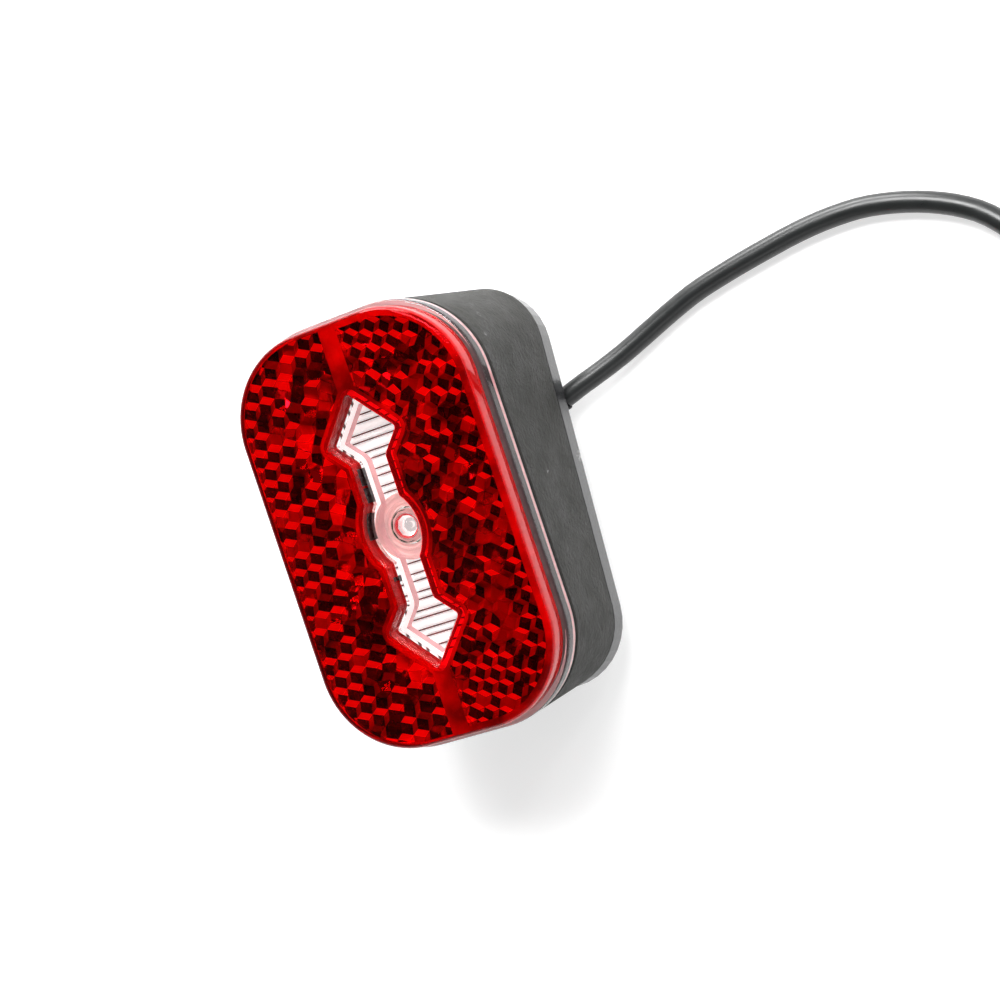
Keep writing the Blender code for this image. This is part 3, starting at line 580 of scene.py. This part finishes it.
# ---- red reflex lens -------------------------------------------------------------------------
def prism_field(half_width, half_length, top, back, pitch, turn):
    """A slab whose underside is a field of cube corners on a triangular lattice, turned by turn."""
    side = pitch / sqrt(3)
    depth = side / sqrt(2)
    rise = side / 2
    across = side * sqrt(3) / 2
    body = bmesh.new()
    shaker = random.Random(7)
    grid = {}
    spin = Matrix.Rotation(turn, 3, "Z")

    def vertex(i, j):
        if (i, j) not in grid:
            x = across * j
            y = side * i + rise * j
            z = back + depth * ((j - i) % 3)
            unrest = PRISM_SHAKE * irregularity(*(spin @ Vector((x, y, 0.0))).xy)
            stray = Vector([shaker.uniform(-1, 1) * unrest for _ in range(3)])
            grid[i, j] = body.verts.new(spin @ Vector((x, y, z)) + stray)
        return grid[i, j]

    columns = int(half_width / across) + 2
    for j in range(-columns, columns + 1):
        middle = -j // 2
        rows = int(half_length / side) + 2
        for i in range(middle - rows, middle + rows + 1):
            if (j - i) % 3:
                continue
            apex = vertex(i, j)
            looks = facet_looks(apex.co.xy, shaker)
            for look, corners in zip(looks, FACETS):
                around = [vertex(i + a, j + b) for a, b in corners]
                body.faces.new([apex, *around]).material_index = look
    edges = [edge for edge in body.edges if edge.is_boundary]
    made = bmesh.ops.extrude_edge_only(body, edges=edges)["geom"]
    for item in made:
        if isinstance(item, bmesh.types.BMVert):
            item.co.z = top
    rim = [item for item in made if isinstance(item, bmesh.types.BMEdge)]
    rim = [edge for edge in rim if edge.is_boundary]
    bmesh.ops.holes_fill(body, edges=rim)
    bmesh.ops.recalc_face_normals(body, faces=body.faces[:])
    return body


# A cube corner's facets, each by its other three corners: the upper one, then the lower left
# one, through which the light leaks away, then the lower right one.
FACETS = (
    ((0, 1), (1, 0), (1, -1)),
    ((1, -1), (0, -1), (-1, 0)),
    ((-1, 0), (-1, 1), (0, 1)),
)
# Painted light and shade on the prisms: BRIGHT is a painted lit red with a glow, DEEP and MIDDLE are
# painted shade in darker reds, DARK is painted black shade, WALL is painted lit red for the wall's
# inside; CLEAR is the acrylic itself.
CLEAR, BRIGHT, DARK, DEEP, MIDDLE, WALL = range(6)


def irregularity(x, y):
    """How unruly the prisms are: 0 in the outer columns and the last rows, 1 round the window."""
    side = (x + 0.0160 if x < 0 else 0.0205 - x) / 0.002
    low = (y + 0.0290) / 0.003
    high = (0.0345 - y) / 0.003
    return min(1.0, max(0.0, min(side, low, high)))


def pick(chances, number):
    """The first finish whose running chance passes the number."""
    for look, chance in chances:
        number -= chance
        if number < 0:
            return look
    return chances[-1][0]


def facet_looks(place, shaker):
    """The painted light and shade of one cube corner's three facets, in the order of FACETS."""
    if irregularity(place.x, place.y) < 0.5:
        usual = [
            ((BRIGHT, 0.8), (MIDDLE, 0.12), (CLEAR, 0.08)),
            ((DARK, 0.86), (DEEP, 0.08), (CLEAR, 0.06)),
            ((DEEP, 0.75), (CLEAR, 0.15), (MIDDLE, 0.1)),
        ]
    elif place.x > 0:
        usual = [
            ((BRIGHT, 0.4), (MIDDLE, 0.35), (CLEAR, 0.25)),
            ((DARK, 0.6), (DEEP, 0.2), (CLEAR, 0.2)),
            ((MIDDLE, 0.5), (DEEP, 0.25), (CLEAR, 0.25)),
        ]
    else:
        usual = [
            ((BRIGHT, 0.4), (CLEAR, 0.35), (MIDDLE, 0.25)),
            ((DARK, 0.3), (CLEAR, 0.4), (MIDDLE, 0.3)),
            ((CLEAR, 0.5), (MIDDLE, 0.3), (DEEP, 0.2)),
        ]
    return [pick(chances, shaker.random()) for chances in usual]


def panel_outline(side):
    """Where one side's prisms may be: inside the lens wall, clear of the middle band."""
    inset = LENS_WALL + (0.0002 if side < 0 else 0.0009)
    half_width, half_length = LENS_WIDTH / 2 - inset, LENS_LENGTH / 2 - inset
    corner = LENS_CORNER - inset
    centre_x, centre_y = half_width - corner, half_length - corner
    outline = [(PANEL_BAND / 2, -half_length)]
    outline += arc((centre_x, -centre_y), corner, -90, 0, 20)
    outline += arc((centre_x, centre_y), corner, 0, 90, 20)
    outline.append((PANEL_BAND / 2, half_length))
    if side < 0:
        outline = [(-x, y) for x, y in reversed(outline)]
    return outline


def build_red_lens(materials):
    def ring(inset, z):
        return at_height(inset_outline(LENS_WIDTH, LENS_LENGTH, LENS_CORNER, inset), z)

    rings = [ring(LENS_WALL, LENS_PLATE_BACK), ring(LENS_WALL, LENS_BASE), ring(0.0, LENS_BASE)]
    rings.append(ring(0.0, LENS_BASE + 0.001))
    for step in range(7):
        share = step / 6 * pi / 2
        inset = FACE_ROUND * (1 - cos(share))
        rings.append(ring(inset, LENS_FACE - FACE_DROP * (1 - sin(share))))
    shell = loft(rings, looks=(WALL, WALL))
    # Painted shade: the plate's back gets the painted half shade, and the wall's inside left of
    # WALL_SHADE_END the painted deep shade.
    for face in shell.faces:
        middle = face.calc_center_median()
        if len(face.verts) > 4 and middle.z < LENS_FACE - GAP:
            face.material_index = MIDDLE
        elif face.material_index == WALL and middle.x < WALL_SHADE_END:
            face.material_index = DEEP
    lens = as_object("red_lens_moulding", shell, materials)
    for side in (-1, 1):
        zone = prism(panel_outline(side), -0.003, COLLAR_BACK)
        prisms = as_object("prism_zone", zone, materials)
        clear = prism(window_outline(COLLAR_WALL + 0.0007), -0.004, 0.004)
        carve(prisms, "DIFFERENCE", clear)
        pitch, turn = (LEFT_PITCH, 0.0) if side < 0 else (RIGHT_PITCH, RIGHT_TURN)
        reach = LENS_LENGTH / 2 + pitch
        field = prism_field(reach, reach, 0.003, PRISM_BACK, pitch, turn)
        carve(prisms, "INTERSECT", field)
        carve(lens, "UNION", body_of(prisms))
    collar = prism(window_outline(COLLAR_WALL), LENS_BASE, COLLAR_BACK, WALL)
    # Painted light and shade on the collar: painted lit red on its left side, painted half shade on its
    # right side.
    for face in collar.faces:
        if face.calc_center_median().x > SIDE:
            face.material_index = MIDDLE
    carve(lens, "UNION", collar)
    carve(lens, "DIFFERENCE", window_hole())
    settle(lens, LENS_FRAME, 25)
    return finish_piece(lens, "red_lens", "red_lens", "reflex_panel_left", "reflex_panel_right")


def window_hole():
    """The window's opening, rounded where it meets the lens face, with painted shade: deep red on its
    right wall and black low on its left wall.
    """
    wall, edge, black_top = window_outline(), 0.0005, 0.0015

    def ring(grow, z):
        return at_height(closer_points(window_outline(grow), 0.0004, wall), z)

    rings = [ring(0.0, 2 * LENS_BASE), ring(0.0, black_top), ring(0.0, LENS_FACE - edge)]
    for step in (1, 2, 3):
        share = step / 3 * pi / 2
        rings.append(ring(edge * (1 - cos(share)), LENS_FACE - edge * (1 - sin(share))))
    rings.append(ring(0.0006, LENS_FACE + 0.001))
    hole = loft(rings)
    for face in hole.faces:
        middle = face.calc_center_median()
        if middle.x > SIDE and middle.z < LENS_FACE - edge:
            face.material_index = DEEP
        elif middle.x < -SIDE and middle.z < black_top and in_dark_stretch(middle.y):
            face.material_index = DARK
    return hole


# ---- clear lens, bed and LED -----------------------------------------------------------------
def closer_points(outline, spacing, guide=None):
    """The closed outline with more points along its long sides, as many as its guide needs."""
    guide = guide or outline
    points = []
    for a, b, c, d in zip(outline, [*outline[1:], outline[0]], guide, [*guide[1:], guide[0]]):
        parts = max(1, int(hypot(d[0] - c[0], d[1] - c[1]) / spacing))
        for part in range(parts):
            share = part / parts
            points.append((a[0] + (b[0] - a[0]) * share, a[1] + (b[1] - a[1]) * share))
    return points


# Where the window's left wall is painted black as painted shade, from and to along the light's length.
DARK_STRETCHES = ((-0.0093, -0.0081), (-0.0003, 0.0043), (0.0063, 0.0093), (0.0096, 0.0128))


def in_dark_stretch(y):
    return any(low < y < high for low, high in DARK_STRETCHES)


RIM_PAINTED_BLACK, RIM_PAINTED_HIGHLIGHT, RIM_SHADE = 1, 2, 3  # the clear lens's materials after the clear one: painted black shade, painted pink highlight, painted red shade


def build_clear_lens(materials):
    """Clear plate with a rim; its wall is painted black as painted shade for the dark seen through it,
    and its foot pink as a painted highlight.
    """
    def ring(inset, z):
        return at_height(inset_outline(CASE_WIDTH, CASE_LENGTH, CASE_CORNER, inset), z)

    plate = 0.0015
    edge = 0.0005
    rings = [ring(RIM_WALL, RIM_FRONT - plate), ring(RIM_WALL, RIM_BACK), ring(0.0002, RIM_BACK)]
    rings.append(ring(0.0, RIM_BACK + 0.0002))
    for step in range(5):
        share = step / 4 * pi / 2
        rings.append(ring(edge * (1 - cos(share)), RIM_FRONT - edge * (1 - sin(share))))
    lens = as_object("clear_lens_moulding", loft(rings, looks=(RIM_PAINTED_BLACK, RIM_PAINTED_HIGHLIGHT)), materials)
    plug = prism(closer_points(window_outline(-GAP), 0.0004), RIM_FRONT - plate / 2, 0.0)
    # Painted shade on the plug's walls: black stretches on the left, dark red on the right below its
    # top.
    for face in plug.faces:
        middle = face.calc_center_median()
        if middle.x < -SIDE and in_dark_stretch(middle.y):
            face.material_index = RIM_PAINTED_BLACK
        elif middle.x > SIDE and middle.z < -GAP:
            face.material_index = RIM_SHADE
    carve(lens, "UNION", plug)
    # The hollow's walls get the painted pink highlight.
    carve(lens, "DIFFERENCE", prism(window_outline(-0.0014), 2 * RIM_BACK, -0.0012, RIM_PAINTED_HIGHLIGHT))
    settle(lens, LENS_FRAME, 30)
    return finish_piece(lens, "clear_lens", "clear_lens")


BED_PAINTED_SHADE = 1  # painted shade in the creases between the flutes, the bed's material after the white


def build_bed(materials):
    """White trough with flutes across it, a round seat for the disc and a hole for the LED."""
    bed = as_object("fluted_bed", prism(window_outline(0.0022), BED_BACK, BED_FRONT), materials)
    trough = loft(
        [
            at_height(window_outline(-0.0007), BED_FLOOR - 0.0004),
            at_height(window_outline(0.0008), BED_FRONT),
            at_height(window_outline(0.0008), BED_FRONT + 0.001),
        ]
    )
    carve(bed, "DIFFERENCE", trough)
    flutes = as_object("flutes", flute_strip(BED_FLOOR + 0.0003), materials)
    shape = prism(window_outline(-0.0002), BED_BACK + 0.0003, BED_FRONT - 0.0004)
    carve(flutes, "INTERSECT", shape)
    carve(bed, "UNION", body_of(flutes))
    for radius, low in ((LED_DISC_RADIUS + GAP, BED_FLOOR), (LED_HOLE + GAP, 2 * BED_BACK)):
        carve(bed, "DIFFERENCE", turned([(radius, low), (radius, 0.0)]))
    settle(bed, LENS_FRAME, 30)
    return finish_piece(bed, "bed_white", "reflector_bed")


def flute_strip(top):
    """A long bar across the bed: rounded flutes with a narrow rib between each two, painted dark brown
    as painted shade in the crease.
    """
    pitch, short, rib, crown = 0.0035, 0.0021, 0.00026, 0.0004
    half_length = WINDOW_TIP + pitch
    half_width = 0.010
    profile = []
    start = -half_length
    while start < half_length:
        for low, high in ((0.0, short), (short, pitch)):
            span = high - low - rib
            for step in range(9):
                share = step / 8
                y = start + low + rib / 2 + span * share
                profile.append((y, top - crown * (2 * share - 1) ** 2))
            profile.append((start + high - rib / 2, top + RIB_RISE))
            profile.append((start + high + rib / 2, top + RIB_RISE))
        start += pitch
    profile.append((profile[-1][0], BED_BACK + 0.0003))
    profile.append((profile[0][0], BED_BACK + 0.0003))
    strip = loft([[(x, y, z) for y, z in profile] for x in (-half_width, half_width)])
    for face in strip.faces:
        if len(face.verts) == 4 and max(vert.co.z for vert in face.verts) > top + RIB_RISE / 2:
            face.material_index = BED_PAINTED_SHADE
    return strip


SILVER, RED, BLACK, PINK = range(4)  # the lamp core's materials; silver, red and pink carry a painted glow


def build_led(disc_material, dome_material, core_materials):
    back = LED_DISC_FRONT - 0.0012
    edge = 0.0002
    profile = [
        (LED_DISC_RADIUS, back),
        (LED_DISC_RADIUS, LED_DISC_FRONT - edge),
        (LED_DISC_RADIUS - edge, LED_DISC_FRONT),
        (LED_DISC_RADIUS - 0.0008, LED_DISC_FRONT),
        (LED_DISC_RADIUS - 0.0011, LED_DISC_FRONT - 0.0003),
        (LED_HOLE + 0.0012, LED_DISC_FRONT - 0.0003),
        (LED_HOLE + 0.0010, LED_DISC_FRONT),
        (LED_HOLE + 0.0007, LED_DISC_FRONT),
        (LED_HOLE + 0.0005, LED_DISC_FRONT - 0.0003),
        (LED_HOLE, LED_DISC_FRONT - 0.0001),
        (LED_HOLE, back),
    ]
    disc = as_object("led_disc_ring", turned_ring(profile, 64), disc_material, LENS_FRAME)
    finish_piece(disc, "led_disc", "led_disc")

    flange_top = LED_DISC_FRONT + 0.0006
    profile = [
        (LED_FLANGE, BOARD_FRONT + GAP),
        (LED_FLANGE, flange_top - 0.0002),
        (LED_FLANGE - 0.0002, flange_top),
        (LED_DOME + 0.00015, flange_top),
        (LED_DOME, flange_top + 0.0002),
    ]
    middle = LED_TOP - LED_DOME
    for step in range(12):
        lean = radians(86) * step / 11
        profile.append((LED_DOME * cos(lean), middle + LED_DOME * sin(lean)))
    dome = as_object("led_lamp", turned(profile), dome_material, LENS_FRAME)
    finish_piece(dome, "led_epoxy", "led")

    rim = middle - 0.0004
    seat = flange_top - 0.0005
    core = [
        (LED_FLANGE - 0.0002, seat - 0.0008),
        (LED_FLANGE - 0.0002, seat),
        (0.0021, seat),
        (0.0021, rim),
        (0.0013, rim),
        (0.0007, middle - 0.0010),
        (0.00035, middle - 0.0010),
        (0.00035, middle - 0.0007),
    ]
    rings = [circle(radius, height, 10) for radius, height in core]
    looks = (PINK, PINK, RED, RED, SILVER, BLACK, SILVER)
    lamp_core = loft(rings, looks=looks)
    cup = as_object("led_cup", lamp_core, core_materials, LENS_FRAME, 10)
    finish_piece(cup, "screw_steel")


# ---- case ------------------------------------------------------------------------------------
def build_case(material):
    """The tapered case wall, whose corners tighten towards its rounded crease."""

    def front(inset, z):
        return at_height(inset_outline(CASE_WIDTH, CASE_LENGTH, CASE_CORNER, inset, 24), z)

    def crease(inset, rise):
        width, length = CASE_WIDTH - 2 * CASE_DRAFT, CASE_LENGTH - 2 * CASE_DRAFT
        outline = inset_outline(width, length, CREASE_CORNER, inset, 24)
        return [(x, y, rise - CASE_DEPTH - tan(WEDGE) * y) for x, y in outline]

    round_ = 0.0008
    lip = 0.0006  # how far the edge reaches past the crease, round the seal
    lip_wall = 0.0008
    rings = [front(CASE_WALL, CASE_FRONT), front(0.0003, CASE_FRONT), front(0.0, CASE_FRONT - 0.0003)]
    for share in (0.25, 0.5, 0.75):
        low = front(0.0, CASE_FRONT)
        high = crease(0.0, round_ - lip)
        rings.append([tuple(Vector(a).lerp(Vector(b), share)) for a, b in zip(low, high)])
    for step in range(6):
        share = step / 5 * pi / 2
        rings.append(crease(0.5 * round_ * (1 - cos(share)), round_ * (1 - sin(share)) - lip))
    rings += [crease(lip_wall, -lip), crease(lip_wall, 0.0), crease(CASE_WALL, 0.0)]
    case = as_object("case_shell", loft(rings, closed=True), material, LENS_FRAME)
    return finish_piece(case, "case_black", "housing")


# ---- lead ------------------------------------------------------------------------------------
def heading(angle):
    return Vector((cos(angle), sin(angle), 0.0))


def along(direction, place):
    return Matrix.Translation(place) @ Vector(direction).to_track_quat("Z", "Y").to_matrix().to_4x4()


def smooth_route(points, spacing):
    """Points about spacing apart on a Catmull-Rom curve through the route."""
    route = [Vector(point) for point in points]
    route = [2 * route[0] - route[1], *route, 2 * route[-1] - route[-2]]
    dense = []
    for a, b, c, d in zip(route, route[1:], route[2:], route[3:]):
        for step in range(12):
            t = step / 12
            dense.append(
                0.5 * (2 * b + (c - a) * t + (2 * a - 5 * b + 4 * c - d) * t**2)
                + 0.5 * (3 * b - 3 * c + d - a) * t**3
            )
    dense.append(route[-2])
    even = [dense[0]]
    for point in dense[1:]:
        if (point - even[-1]).length >= spacing:
            even.append(point)
    even.append(dense[-1])
    return even


def coil_points():
    """Three turns wound inwards on the surface, then outwards again on top of them."""
    low = COIL_LIFT - GAP + CABLE_RADIUS
    outer = COIL_INNER + COIL_TURNS * CABLE_DIAMETER
    bottom = COIL_TURNS * STEPS_PER_TURN
    climb = STEPS_PER_TURN // 3
    points = []
    for k in range(bottom + climb + COIL_TOP_STEPS + 1):
        angle = COIL_START + 2 * pi * k / STEPS_PER_TURN
        rise = min(1.0, max(0.0, (k - bottom) / climb))
        if k <= bottom:
            radius = outer - CABLE_DIAMETER * k / STEPS_PER_TURN
        else:
            out = max(0, k - bottom - climb) / STEPS_PER_TURN
            radius = COIL_INNER - 0.0003 * sin(pi * rise) + CABLE_DIAMETER * out
        z = low + CABLE_DIAMETER * (1 - cos(pi * rise)) / 2
        points.append(COIL_CENTRE + heading(angle) * radius + Vector((0, 0, z)))
    return points


def tail_points(leave, way):
    """Straight off the coil's top, over its outer turn, round a bend and into the connector."""
    points = [leave + heading(way) * run for run in (0.006, 0.012, 0.018)]
    bend = CONNECTOR_HEADING - way
    centre = points[-1] + heading(way + pi / 2) * TAIL_BEND
    heights = (0.0061, 0.0055, 0.0051, 0.0050)
    for step, height in enumerate(heights, start=1):
        spoke = way - pi / 2 + bend * step / len(heights)
        point = centre + heading(spoke) * TAIL_BEND
        points.append(Vector((point.x, point.y, height)))
    return points


def connector_place():
    direction = heading(CONNECTOR_HEADING)
    radius = COIL_OUTER + CONNECTOR_RADIUS + 0.001
    place = COIL_CENTRE + heading(CONNECTOR_HEADING - pi / 2) * radius + direction * 0.002
    return place + direction * 0.012 + Vector((0, 0, CONNECTOR_RADIUS + 0.0002)), direction


def build_lead(material):
    start = GLAND_PLACE + heading(CABLE_ANGLE) * (GLAND_END + GAP)
    wound = coil_points()
    end, _ = connector_place()
    way = COIL_START + 2 * pi * (len(wound) - 1) / STEPS_PER_TURN + pi / 2
    way = (way + pi) % (2 * pi) - pi
    tail = tail_points(wound[-1], way)
    route = smooth_route([start, *LEAD_ROUTE, *wound, *tail, end], 0.0022)
    curve = bpy.data.curves.new("lead_cable", "CURVE")
    curve.dimensions = "3D"
    curve.bevel_depth = CABLE_RADIUS
    curve.bevel_resolution = 6
    curve.use_fill_caps = True
    spline = curve.splines.new("POLY")
    spline.points.add(len(route) - 1)
    for target, point in zip(spline.points, route):
        target.co = (*point, 1.0)
    spline.use_smooth = True
    curve.materials.append(material)
    lead = bpy.data.objects.new("lead_cable", curve)
    bpy.context.scene.collection.objects.link(lead)
    finish_piece(lead, "cable_jacket", "cable_lead", "cable_coil", "cable_tail")


def build_gland(material):
    """Ribbed strain relief, thinner towards its end."""
    profile = [(GLAND_SOCKET - GAP, -GLAND_INSIDE), (GLAND_SOCKET - GAP, GLAND_STANDOFF)]
    ribs = 3
    root, tip = 0.0035, 0.0026
    pitch = (GLAND_END - GLAND_STANDOFF) / ribs
    soft = 0.00025
    for rib in range(ribs):
        start = GLAND_STANDOFF + rib * pitch
        thick = root + (tip - root) * rib / (ribs - 1)
        profile += [(thick - soft, start), (thick, start + soft)]
        rib_end = start + pitch * 0.6
        profile += [(thick - 0.0001, rib_end - soft), (thick - 0.0001 - soft, rib_end)]
        if rib < ribs - 1:
            profile += [(thick - 0.0005, start + pitch * 0.62), (thick - 0.00055, start + pitch * 0.98)]
    profile.append((CABLE_RADIUS + 0.0003, GLAND_END))
    place = along(heading(CABLE_ANGLE), GLAND_PLACE)
    piece = as_object("strain_relief", turned(profile), material, place)
    return finish_piece(piece, "gland_rubber", "cable_gland")


def build_tie(material):
    """A silicone strap round the coil with rounded edges."""
    room = CABLE_RADIUS + GAP
    past = (TIE_ANGLE - COIL_START) / (2 * pi)
    outer = COIL_INNER + CABLE_DIAMETER * (COIL_TURNS - past)
    foot = outer - 2 * CABLE_DIAMETER
    top_inner = COIL_INNER + CABLE_DIAMETER * (past - 1 / 3)
    top_outer = top_inner + CABLE_DIAMETER
    low = COIL_LIFT - GAP
    high = COIL_LIFT + 2 * CABLE_DIAMETER + GAP
    shoulder = low + CABLE_DIAMETER + GAP
    inside = [
        (foot - room, low),
        (outer + room, low),
        (outer + room, shoulder),
        (top_outer + room, high),
        (top_inner - room, high),
        (top_inner - room, shoulder),
    ]
    soft = []
    for i in range(len(inside)):
        soft += fillet(inside[i - 1], inside[i], inside[(i + 1) % len(inside)], 0.0011, 5)
    outside = offset_outline(soft, TIE_THICKNESS)
    lifted = [(x, max(z, 0.00005)) for x, z in outside]
    half = TIE_WIDTH / 2
    rings = [[(x, y, z) for x, z in soft] for y in (-half, half)]
    rings += [[(x, y, z) for x, z in lifted] for y in (half - 0.0002, -half + 0.0002)]
    strap = as_object("coil_strap", loft(rings, closed=True), material)
    strap.data.transform(Matrix.Translation(COIL_CENTRE) @ Matrix.Rotation(TIE_ANGLE, 4, "Z"))
    return finish_piece(strap, "tie_rubber", "coil_tie")


def build_connector(shell_material):
    end, direction = connector_place()
    matrix = along(direction, end + direction * GAP)
    r = CONNECTOR_RADIUS
    e = 0.0002
    profile = [
        (CABLE_RADIUS + 0.0003, 0.0),
        (CABLE_RADIUS + 0.0006, 0.0005),
        (CABLE_RADIUS + 0.0009, 0.006),
        (r * 0.78 - e, 0.0065),
        (r * 0.78, 0.0065 + e),
        (r * 0.78, 0.0085),
        (r - e, 0.009),
        (r, 0.009 + e),
        (r, 0.0145 - e),
        (r - e, 0.0145),
        (r * 0.8, 0.015),
        (r * 0.8, 0.0172 - e),
        (r * 0.8 - e, 0.0172),
        (r * 0.68, 0.0174),
        (r * 0.68, 0.0196),
        (r * 0.8 - e, 0.0198),
        (r * 0.8, 0.0198 + e),
        (r * 0.8, CONNECTOR_LENGTH - 0.0005),
        (r * 0.72, CONNECTOR_LENGTH),
    ]
    shell = as_object("connector_housing", turned(profile, 64), shell_material)
    carve(shell, "DIFFERENCE", turned([(0.0026, 0.0225), (0.0026, CONNECTOR_LENGTH + 0.002)]))
    flutes = 12
    for k in range(flutes):
        groove = turned([(0.0005, 0.0098), (0.0005, 0.0137)], 12)
        angle = 2 * pi * k / flutes
        move = Matrix.Translation((r * cos(angle), r * sin(angle), 0.0))
        carve(shell, "DIFFERENCE", groove, move)
    settle(shell, matrix, 30)
    return finish_piece(shell, "connector_black", "connector_shell")


# ---- finishing -------------------------------------------------------------------------------
def repaint(node, material):
    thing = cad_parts[node]
    thing.data.materials.clear()
    thing.data.materials.append(material)


bpy.context.scene.view_settings.view_transform = "Standard"
make_camera()
make_world()
make_lights()
make_floor()

black_case = case_plastic("case_plastic", (0.0175, 0.0173, 0.0155), (0.029, 0.0286, 0.026))
black_cover = case_plastic(
    "cover_plastic",
    (0.012, 0.012, 0.013),
    (0.024, 0.024, 0.025),
    grain=0.00004,
    rough=(0.14, 0.24),
    specular=0.5,
)
soft_black = rubber("pad_rubber", (0.015, 0.015, 0.016), (0.032, 0.032, 0.033))
cable_rubber = rubber(
    "cable_jacket",
    (0.006, 0.007, 0.007),
    (0.014, 0.015, 0.015),
    rough=(0.26, 0.38),
    stretch=(0.3, 1, 1),
    specular=0.4,
)
zinc = metal("zinc", (0.62, 0.62, 0.6))
brass = metal("brass", (0.74, 0.56, 0.27))
red = red_acrylic()
clear = clear_acrylic()
# Painted light: the pink disc, the lamp's silver cup and its red band glow, standing in for light
# gathered in the lamp and for glints.
pink_disc_painted_glow = glowing(moulded("pink_disc_painted_glow", (0.75, 0.4, 0.38), (0.12, 0.25)), (1.0, 0.64, 0.62), 0.34)
dome = clear_acrylic("led_epoxy", (1.0, 0.9, 0.9))
silver = glowing(metal("lamp_silver_painted_glint", (0.9, 0.88, 0.86), (0.05, 0.12)), (1.0, 0.95, 0.95), 0.55)
lamp_red_painted_glow = glowing(moulded("lamp_red_painted_glow", (0.8, 0.02, 0.03)), (1.0, 0.02, 0.03), 0.3)
lamp_black = moulded("lamp_black", (0.01, 0.008, 0.008))
# Painted light: the bed's white reflector glows.
white = glowing(white_reflector(), (1.0, 0.98, 0.975), 0.66)
board_green = moulded("board_mask", (0.015, 0.12, 0.05), (0.25, 0.4))
package = moulded("package_black", (0.02, 0.02, 0.022))
sleeve = moulded("capacitor_sleeve", (0.04, 0.07, 0.25))
core_red = moulded("core_red", (0.5, 0.012, 0.012))
core_black = moulded("core_black", (0.015, 0.015, 0.015))
seal_orange = rubber("seal_orange", (0.35, 0.05, 0.02), (0.5, 0.08, 0.03), (0.3, 0.45))
connector_plastic = moulded("connector_plastic", (0.03, 0.03, 0.032))

# Lit and shaded copies of the lens red: painted light with a glow, painted deep shade, painted black
# shade, painted half shade, and painted light for the wall's inside.
facet_painted_light = glowing(moulded("facet_painted_light", (1.0, 0.002, 0.002), (0.2, 0.4)), (1.0, 0.0, 0.0), 0.42)
facet_painted_deep_shade = moulded("facet_painted_deep_shade", (0.34, 0.002, 0.002), (0.15, 0.3))
facet_painted_black_shade = moulded("facet_painted_black_shade", (0.012, 0.001, 0.001), (0.2, 0.35))
facet_painted_half_shade = patchy_red_painted_shade()
wall_red_painted_light = moulded("wall_red_painted_light", (0.7, 0.002, 0.004), (0.2, 0.4))
build_red_lens([red, facet_painted_light, facet_painted_black_shade, facet_painted_deep_shade, facet_painted_half_shade, wall_red_painted_light])
# The clear lens's painted black shade, painted pink highlight with a glow, and painted red shade.
rim_painted_black_shade = moulded("rim_painted_black_shade", (0.008, 0.007, 0.008), (0.3, 0.4))
rim_pink_painted_highlight = glowing(moulded("rim_pink_painted_highlight", (0.85, 0.45, 0.46), (0.25, 0.4)), (1.0, 0.6, 0.6), 0.2)
rim_shade = moulded("rim_shade", (0.3, 0.1, 0.1), (0.25, 0.4))
build_clear_lens([clear, rim_painted_black_shade, rim_pink_painted_highlight, rim_shade])
# Painted shade for the creases between the bed's flutes.
flute_crease_painted_shade = moulded("flute_crease_painted_shade", (0.16, 0.025, 0.022))
build_bed([white, flute_crease_painted_shade])
build_led(pink_disc_painted_glow, dome, [silver, lamp_red_painted_glow, lamp_black, pink_disc_painted_glow])
build_case(black_case)
build_gland(soft_black)
strap = build_tie(soft_black)
plug = build_connector(connector_plastic)
build_lead(cable_rubber)

repaint("rear_cover", black_cover)
repaint("mounting_pad", soft_black)
for name in ("lens_seal", "cover_seal"):
    repaint(name, soft_black)
for name in ("mount_insert_upper", "mount_insert_lower", "connector_pin_1", "connector_pin_2"):
    repaint(name, brass)
for name in ("board_screw_1", "board_screw_2", *(f"cover_screw_{n}" for n in (1, 2, 3, 4))):
    repaint(name, zinc)
for name in ("regulator", "diode", "resistor_1", "resistor_2", "inductor"):
    repaint(name, package)
repaint("circuit_board", board_green)
repaint("capacitor", sleeve)
repaint("wire_positive", core_red)
repaint("wire_negative", core_black)
repaint("connector_seal", seal_orange)
